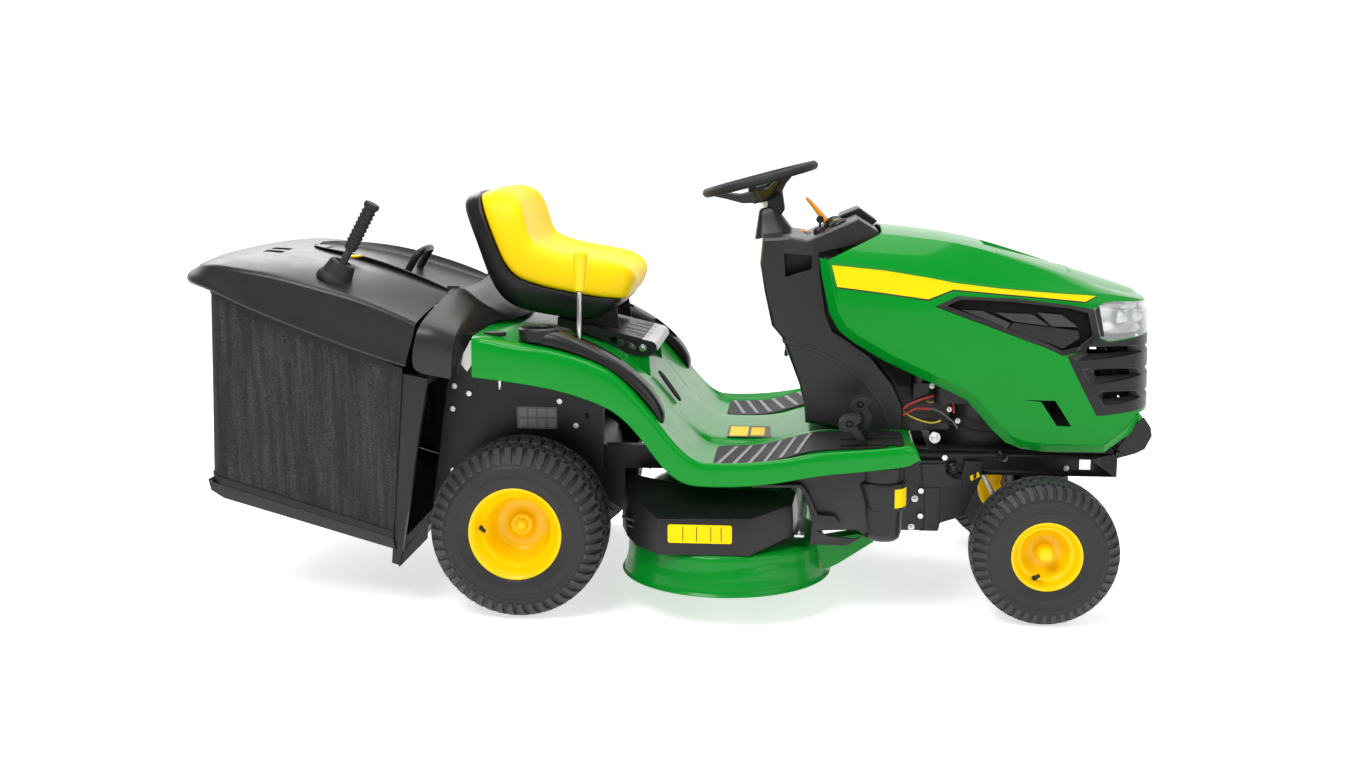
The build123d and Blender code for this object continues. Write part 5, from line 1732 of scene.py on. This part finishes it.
# ---------------------------------------------------------------- levers and pedals
def make_levers():
    """Height lever, throttle, key and blade switch."""
    foot, top = at(LEVER_X, LEVER_Y, 640), at(LEVER_X + 5, LEVER_Y, 826)
    dress(rod("height_lever_bar", foot, top, 6), BRIGHT, "height_lever", "zinc_steel", ["height_lever_rod"])
    knob = turned(
        "height_lever_grip",
        [
            (0, 0), (10, 0), (12.5, 2), (13.2, 8), (13.2, 20), (15, 44), (17.2, 72), (18, 84), (17, 91),
            (13, 96), (6, 98.5), (0, 99),
        ],
        at(LEVER_X + 5, LEVER_Y, 821), (0.04, 0, 1), 48, looped=False,
    )
    dress(knob, YELLOW, "height_lever", "yellow_plastic", ["height_lever_knob"], sharp=40)
    rows = []
    for x, z, wide, deep in (
        (772, 950, 9, 10), (764, 962, 9, 10), (750, 981, 8.5, 9), (734, 1001, 7, 7),
        (718, 1019, 5.5, 5.5), (709, 1029, 4.8, 4.8), (705, 1033, 3, 3),
    ):
        rows.append([
            at(x + deep * 0.7 * c, -40 + wide * s, z + deep * 0.7 * c)
            for c, s in ((math.cos(2 * math.pi * k / 12), math.sin(2 * math.pi * k / 12)) for k in range(12))
        ])
    lever = skin("throttle_grip", rows, closed=True, caps=True)
    smoothed(lever)
    hub = rod("hub", at(773, -44, 948), at(773, -36, 948), 7.5)
    dress(join(lever, hub), ORANGE, "throttle", "orange_plastic", ["throttle_lever"], sharp=50)
    tilt = Vector((-0.35, 0, 0.93)).normalized()
    low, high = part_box("ignition_key")
    key_axis = at(742, -110, 0)
    key_foot = Vector((key_axis.x, key_axis.y, (low.z + high.z) / 2))
    upright = Vector((0, 0, 1))
    stem = rod("key_stem", key_foot - upright * 0.030, key_foot + upright * 0.010, 3.4)
    bow = turned(
        "key_bow", [(0, -3.5), (8, -3.5), (10, -2), (10, 2), (8, 3.5), (0, 3.5)],
        key_foot + upright * 0.019, (0, 1, 0), 32, looped=False,
    )
    dress(join(stem, bow), BLACK, "key", "black_plastic", ["ignition_key"], bevel=0.6)
    low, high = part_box("blade_switch")
    middle = (low + high) / 2
    knob = turned(
        "blade_switch_knob",
        [(0, -24), (5.5, -24), (5.5, -2), (13, -1), (15, 2), (15, 9), (13.5, 12), (10, 13.5), (0, 14)],
        middle, tilt, 40, looped=False,
    )
    dress(knob, BLACK, "blade_switch", "black_plastic", ["blade_switch"], bevel=0.5)
    cap = turned(
        "blade_switch_cap", [(0, 13.4), (8, 13.2), (8.6, 14.4), (0, 15)], middle, tilt, 32, looped=False,
    )
    dress(cap, YELLOW, "blade_switch", "yellow_plastic")


def make_frame():
    """Materials and broken edges for the CAD nodes that stay."""
    for node, material, bevel in (
        ("frame_rails", STEEL, 1.2), ("rear_frame", STEEL, 1.5), ("frame_bolts", ZINC, 0.5),
        ("front_axle_beam", STEEL, 1.5), ("knuckle_left", STEEL, 1.2), ("knuckle_right", STEEL, 1.2),
        ("tie_rod", ZINC, 0.8), ("front_bumper", BLACK, 4.0), ("engine_block", CASTING, 2.0),
        ("blower_housing", BLACK, 3.0), ("air_filter_cover", BLACK, 4.0), ("muffler", STEEL, 3.0),
        ("fuel_tank", BLACK, 4.0), ("battery", BLACK, 2.0), ("engine_pulley", BRIGHT, 0.8),
        ("transaxle_case", ALLOY, 2.5), ("blade_left", BRIGHT, 0.6), ("blade_right", BRIGHT, 0.6),
        ("collector_tray", GREY, 2.5), ("collector_frame", STEEL, 2.0), ("collector_chute", GREY, 2.0),
    ):
        refine(node, material, bevel)


# ---------------------------------------------------------------- mower deck
def deck_line(grow, z, emboss=0.0):
    """The twin-chamber outline seen from above, grown by an amount; emboss pushes the outer walls out."""
    radius = 252 + grow
    start = math.acos((radius - 42) / radius)
    near = []
    for k in range(49):
        angle = start - (math.pi + 2 * start) * k / 48
        share = max(0.0, math.sin(-angle)) ** 0.5
        wave = between(math.degrees(-angle), (0, 30, 60, 90, 118, 150, 180), (0, 26, 40, 22, 12, 30, 0))
        out = emboss * share if z < 120 + wave else 0
        near.append(at(512 + (radius + out) * math.cos(angle), -258 + (radius + out) * math.sin(angle), z))
    far = [Vector((q.x, -q.y, q.z)) for q in reversed(near)]
    return near + far


def make_deck():
    """The stamped deck shell and its lifting arms."""
    levels = (
        (-60, 190, 0), (-16, 190, 0), (-5, 187, 0), (0, 180, 0), (0, 170, 0), (0, 162, 0), (1, 155, 4),
        (1, 148, 4), (2, 140, 4), (3, 132, 4), (4, 124, 4), (6, 115, 4), (8, 108, 3), (11, 101, 1),
        (14, 96, 0), (16.5, 94, 0), (17.5, 92, 0), (16, 90, 0), (12, 91, 0),
    )
    rows = [deck_line(*level) for level in levels]
    shell = skin("deck_stamping", rows, closed=True)
    roof = mesh_object("roof", rows[0], [tuple(range(len(rows[0])))])
    clean(join(shell, roof))
    thicken(shell, 3, -1)
    cut(shell, box("mouth", (190, 330), (-110, 110), (112, 184)))
    dress(shell, GREEN_PAINT, "mower_deck", "green_paint", ["deck_shell"], sharp=40)
    for side, sign in SIDES:
        arm = prism(
            f"deck_arm_{side}",
            [
                (742, 178), (760, 118), (778, 120), (800, 132), (886, 190), (884, 198), (846, 206),
                (770, 190),
            ],
            *band_of(sign, 352, 346),
        )
        dress(arm, GREEN_PAINT, "mower_deck", "green_paint", bevel=1.5)
        web = prism(
            f"deck_arm_top_{side}", [(742, 186), (846, 206), (886, 196), (886, 200), (846, 210), (742, 190)],
            *band_of(sign, 352, 300),
        )
        dress(web, GREEN_PAINT, "mower_deck", "green_paint", bevel=1.0)
    make_deck_covers()
    refine("spindle_belt", RUBBER, 0.4)


def make_deck_covers():
    """Angular pulley covers over both chambers, with a plain yellow plate."""
    low = [
        (250, 318, 207), (274, 412, 207), (300, 452, 196), (356, 500, 188), (581, 500, 190),
        (684, 424, 224), (694, 330, 226),
    ]
    sill = [
        (250, 318, 262), (272, 408, 266), (298, 448, 262), (356, 499, 250), (581, 499, 250),
        (684, 424, 262), (694, 330, 264),
    ]
    high = [
        (256, 318, 300), (280, 404, 300), (302, 440, 306), (358, 496, 275), (581, 496, 279),
        (682, 420, 300), (690, 330, 306),
    ]
    roof = [
        (262, 250, 332), (300, 320, 340), (372, 352, 334), (430, 372, 330), (560, 372, 322),
        (650, 350, 316), (660, 262, 316),
    ]
    for side, sign in SIDES:
        rows = [[at(x, sign * y, z) for x, y, z in line] for line in (low, sill, high, roof)]
        cover = thicken(skin(f"deck_cover_{side}", rows), 3)
        for k, (x1, x2) in enumerate(((262, 292), (276, 300))):
            y = 408 - 4 * k
            step = prism(
                "step",
                [
                    (x1, 268 - 22 * k), (x2 + 22, 252 - 22 * k), (x2 + 22, 246 - 22 * k),
                    (x1, 262 - 22 * k),
                ],
                *band_of(sign, y + 22, y + 34),
            )
            join(cover, step)
        dress(
            cover, BLACK, "mower_deck", "black_plastic", ["deck_covers"] if sign < 0 else [], bevel=2.5,
            segments=3,
        )
        foot = box(f"cover_foot_{side}", (688, 712), band_of(sign, 438, 410), (222, 228))
        dress(foot, ZINC, "mower_deck", "zinc_steel", bevel=0.8)
        bolt(f"cover_bolt_{side}", at(700, sign * 424, 228), (0, 0, 1), 8, "mower_deck")
        label = prism(f"cover_plate_{side}", rounded(382, 538, 219, 265, 5), *band_of(sign, 500.2, 501.4))
        dress(label, LABEL, "mower_deck", "yellow_plastic", bevel=0.3)
        for k, x in enumerate((419, 452, 487, 512)):
            bar = prism(
                f"cover_plate_rule_{side}_{k}", rounded(x - 1, x + 1, 224, 260, 0.5),
                *band_of(sign, 501.2, 501.8),
            )
            dress(bar, RUBBER, "mower_deck", "yellow_plastic")


def rounded(x1, x2, z1, z2, radius, steps=5):
    """A rectangle's outline with rounded corners."""
    points = []
    for cx, cz, start in (
        (x2 - radius, z2 - radius, 0), (x1 + radius, z2 - radius, 90), (x1 + radius, z1 + radius, 180),
        (x2 - radius, z1 + radius, 270),
    ):
        for k in range(steps + 1):
            a = math.radians(start + 90 * k / steps)
            points.append((cx + radius * math.cos(a), cz + radius * math.sin(a)))
    return points


PANEL_Y = 196  # inner face of the front panels, which clears the front tyres at full lock
PANEL_AHEAD, PANEL_DROP = 10, 24


def panel_outline(points):
    """Slides an outline forward and down to the front panels' place on the rail."""
    return [(x + PANEL_AHEAD, z - PANEL_DROP) for x, z in points]


def make_side_panels():
    """Belt pods under the footrests, the ribbed panels beside them, and the panels ahead of the footrests."""
    for side, sign in SIDES:
        pod_base = at(899, sign * 412, 0)
        rows = []
        for z, wide, deep, shift in (
            (212, 14, 10, 8), (214, 30, 22, 7), (222, 42, 36, 4), (236, 48, 46, 2), (300, 53, 52, 0),
            (402, 55, 54, 0),
        ):
            rows.append([
                pod_base + Vector(((wide * math.cos(a) + shift), sign * deep * math.sin(a), z)) * MM
                for a in [2 * math.pi * k / 36 for k in range(36)]
            ])
        pod = skin(f"belt_pod_{side}", rows, closed=True, caps=True)
        collar = []
        for z, left, deep in (
            (298, 36, 53), (300, 38, 57), (306, 42, 59), (356, 60, 60), (364, 60, 59), (367, 57, 55),
        ):
            ring = []
            for k in range(36):
                a = 2 * math.pi * k / 36
                c, d = math.cos(a), math.sin(a)
                reach = (left if c < 0 else 60) * math.copysign(abs(c) ** 0.8, c)
                ring.append(pod_base + Vector((reach, sign * deep * math.copysign(abs(d) ** 0.8, d), z)) * MM)
            collar.append(ring)
        band = skin("band", collar, closed=True, caps=True)
        dress(
            join(pod, band), BLACK, "chassis", "black_plastic", ["side_panels"] if sign < 0 else [],
            bevel=1.5, sharp=40,
        )
        tag = []
        for z in (308, 354):
            tag.append([
                pod_base + Vector((60.9 * math.cos(a) ** 0.8, sign * 60.9 * math.sin(a) ** 0.8, z)) * MM
                for a in [math.radians(v) for v in (16, 26, 36, 46, 56, 66)]
            ])
        label = thicken(skin(f"pod_plate_{side}", tag), 0.8)
        dress(label, LABEL, "chassis", "yellow_plastic")
        web = [
            (640, 352), (700, 352), (722, 300), (730, 262), (726, 206), (816, 205), (846, 222),
            (862, 240), (880, 240), (880, 400), (640, 390),
        ]
        sheet = prism(f"pod_panel_{side}", web, *band_of(sign, 440, 446))
        hollow = prism(
            "hollow", [(742, 242), (840, 246), (858, 232), (832, 224), (770, 230)],
            *band_of(sign, 430, 460),
        )
        cut(sheet, hollow)
        rib_line = [(583, 352), (698, 354), (712, 338), (739, 280), (780, 278), (794, 264)]
        other = [(800, 268), (784, 286), (745, 288), (719, 344), (704, 362), (583, 360)]
        rib = prism("rib", rib_line + other, *band_of(sign, 444, 468))
        join(sheet, rib)
        dress(sheet, BLACK, "chassis", "black_plastic", bevel=2.0)
        for k, (x, z) in enumerate(panel_outline([(987, 290), (980, 214)])):
            bolt(f"panel_bolt_{side}_{k}", at(x, sign * (PANEL_Y + 7), z), (0, sign, 0), 9, "chassis")
        front = prism(
            f"front_panel_{side}",
            panel_outline([(944, 204), (944, 392), (1062, 392), (1066, 362), (1082, 350), (1104, 348),
                           (1112, 392), (1156, 392), (1156, 350), (1116, 246), (1054, 226), (1050, 206)]),
            *band_of(sign, PANEL_Y, PANEL_Y + 6),
        )
        step = prism(
            "step",
            panel_outline(
                [
                    (1000, 383), (1062, 385), (1066, 360), (1082, 347), (1106, 345), (1106, 324),
                    (1008, 322),
                ]
            ),
            *band_of(sign, PANEL_Y + 5, PANEL_Y + 12),
        )
        ridge = prism(
            "ridge",
            panel_outline([(1000, 208), (1012, 208), (1012, 322), (1052, 322), (1052, 226), (1048, 210),
                           (1048, 205), (1000, 205)]),
            *band_of(sign, PANEL_Y + 5, PANEL_Y + 10),
        )
        spine = prism(
            "spine", panel_outline([(1136, 388), (1142, 388), (1156, 356), (1156, 344)]),
            *band_of(sign, PANEL_Y + 5, PANEL_Y + 9),
        )
        join(front, step, ridge, spine)
        dress(front, BLACK, "chassis", "black_plastic", bevel=2.0)
        for k, (x, z, y) in enumerate(((1093, 348, PANEL_Y + 6), (1220, 378, 179))):
            head = turned(
                f"panel_stud_{side}_{k}",
                [(0, 0), (15, 0), (15, 2), (11, 5), (10, 10), (7, 12), (6, 8), (0, 8)],
                at(x, sign * y, z), (0, sign, 0), 32, looped=False,
            )
            dress(head, BLACK, "chassis", "black_plastic", bevel=0.6)
        bolt(f"rail_bolt_{side}", at(1045, sign * 186, 425), (0, sign, 0), 15, "chassis")
    flag = prism("panel_tag", panel_outline([(1126, 352), (1152, 368), (1152, 352), (1130, 340)]),
                 -PANEL_Y - 7.5, -PANEL_Y - 6.2)
    dress(flag, LABEL, "chassis", "yellow_plastic")
    bar = prism("panel_tag_bar", panel_outline([(1135, 343), (1143, 349), (1143, 364), (1135, 358)]),
                -PANEL_Y - 8, -PANEL_Y - 7)
    dress(bar, RUBBER, "chassis", "yellow_plastic")


def make_wires():
    """Loose leads beside the engine."""
    lines = (
        (
            "red", RED_WIRE, 2.8,
            ((962, 500), (969, 509), (1006, 527), (1048, 540), (1081, 533), (1090, 512), (1090, 492)),
        ),
        ("red_short", RED_WIRE, 2.8, ((962, 484), (974, 490), (990, 500), (1007, 503), (1030, 500))),
        (
            "grey", GREY_WIRE, 2.4,
            ((990, 500), (1007, 502), (1049, 500), (1078, 478), (1097, 462), (1102, 450)),
        ),
        ("yellow", YELLOW_WIRE, 2.2, ((962, 492), (977, 480), (1013, 466), (1046, 461), (1060, 470))),
        (
            "yellow_short", YELLOW_WIRE, 2.2,
            ((1000, 540), (1013, 526), (1035, 511), (1058, 534), (1062, 548)),
        ),
        (
            "black", RUBBER, 4.0,
            ((1000, 470), (1060, 468), (1110, 452), (1150, 440), (1190, 436), (1240, 438)),
        ),
    )
    for k, (name, material, radius, line) in enumerate(lines):
        lead = tube(f"lead_{name}", [at(x, -196 + 5 * k, z) for x, z in line], radius)
        dress(lead, material, "chassis", "black_rubber", ["wiring_harness"] if k == 0 else [])
    duct = prism(
        "engine_duct",
        [(946, 432), (952, 500), (930, 556), (872, 632), (872, 660), (1090, 660), (1090, 432)], -140, 140,
    )
    dress(duct, CASTING, "chassis", "black_plastic", bevel=10, segments=3)
    for k, x in enumerate((962, 1046)):
        strap = prism(
            f"tank_bracket_{k}",
            [
                (-150, 652), (-150, 724), (-120, 724), (-120, 668), (120, 668), (120, 724), (150, 724),
                (150, 652),
            ],
            x - 13, x + 13, axis="x",
        )
        dress(strap, STEEL, "chassis", "black_steel", bevel=1.0)
    box_piece = box("terminal_box", (985, 1030), (-186, -150), (520, 570))
    dress(box_piece, BLACK, "chassis", "black_plastic", bevel=4)
    for k, (x, z, r) in enumerate(((1000, 552, 22), (1060, 580, 26), (1110, 520, 20))):
        can = turned(f"engine_can_{k}", [(0, 0), (r - 3, 0), (r, 3), (r, 46), (r - 4, 50), (0, 50)],
                     at(x, -160, z), (0, -0.2, 1), 32, looped=False)
        dress(can, (BLACK, CASTING, BLACK)[k], "chassis", "black_plastic", bevel=0.8)
    for k, (x, z) in enumerate(((1034, 560), (1080, 500), (1102, 470))):
        bolt(f"engine_bolt_{k}", at(x, -186, z), (0, -1, 0), 7, "chassis")


def make_pedals():
    """Cranked arms that rise through the footrests, each with a hollow moulded pad."""
    head = [(-26, -12), (-24, 4), (-10, 16), (14, 20), (28, 15), (27, 4), (12, -8), (2, -20), (-14, -22)]
    for name, y, x, z in (
        ("forward_pedal", FORWARD_PEDAL_Y, 818, 506), ("reverse_pedal", REVERSE_PEDAL_Y, 846, 538),
        ("brake_pedal", BRAKE_PEDAL_Y, 822, 512),
    ):
        arm_line = [
            (x - 6, z - 8), (x + 10, z + 4), (x + 30, z - 30), (866, 452), (872, 430), (888, 404),
            (884, 395), (874, 398), (858, 420), (850, 446), (x + 12, z - 34),
        ]
        arm = prism(f"{name}_arm", arm_line, y - 3.5, y + 3.5)
        hub = rod("hub", at(880, y - 4, 402), at(880, y + 4, 402), 15)
        bore = rod("bore", at(880, y - 10, 402), at(880, y + 10, 402), 7.4)
        dress(cut(join(arm, hub), bore, folded=True), STEEL, name, "black_rubber", [name], bevel=1.0)
        pad = prism(f"{name}_pad", [(x + a, z + b) for a, b in head], y - 26, y + 26)
        cut(pad, rod("bore", at(x, y - 40, z), at(x, y + 40, z), 8))
        dress(pad, RUBBER, name, "black_rubber", bevel=3.5, segments=3)
        core = rod(f"{name}_pin", at(x, y - 22, z), at(x, y + 22, z), 7)
        dress(core, STEEL, name, "black_steel")


def make_plates():
    """Plain plates and small fittings on the rear side plates."""
    plate = prism("frame_plate", rounded(-34, 72, 444, 502, 4), -251.6, -250.2)
    dress(plate, PLATE, "chassis", "black_steel", bevel=0.3)
    for k in range(8):
        x, z = -28 + 25 * (k % 4), (476, 449)[k // 4]
        tile = prism(f"frame_plate_field_{k}", rounded(x, x + 20, z, z + 21, 2), -252.2, -251.4)
        dress(tile, FIELD, "chassis", "black_steel")
    pin = rod("fender_pin", at(-60, -330, 560), at(-60, -330, 620), 5)
    dress(pin, ZINC, "chassis", "zinc_steel")


make_stage()
make_wheels()
make_hood()
make_fender()
make_mats()
make_consoles()
make_console()
make_dash()
make_steering()
make_seat()
make_lid()
make_shroud()
make_dump_lever()
make_bag()
make_levers()
make_deck()
make_side_panels()
make_wires()
make_pedals()
make_plates()
make_frame()
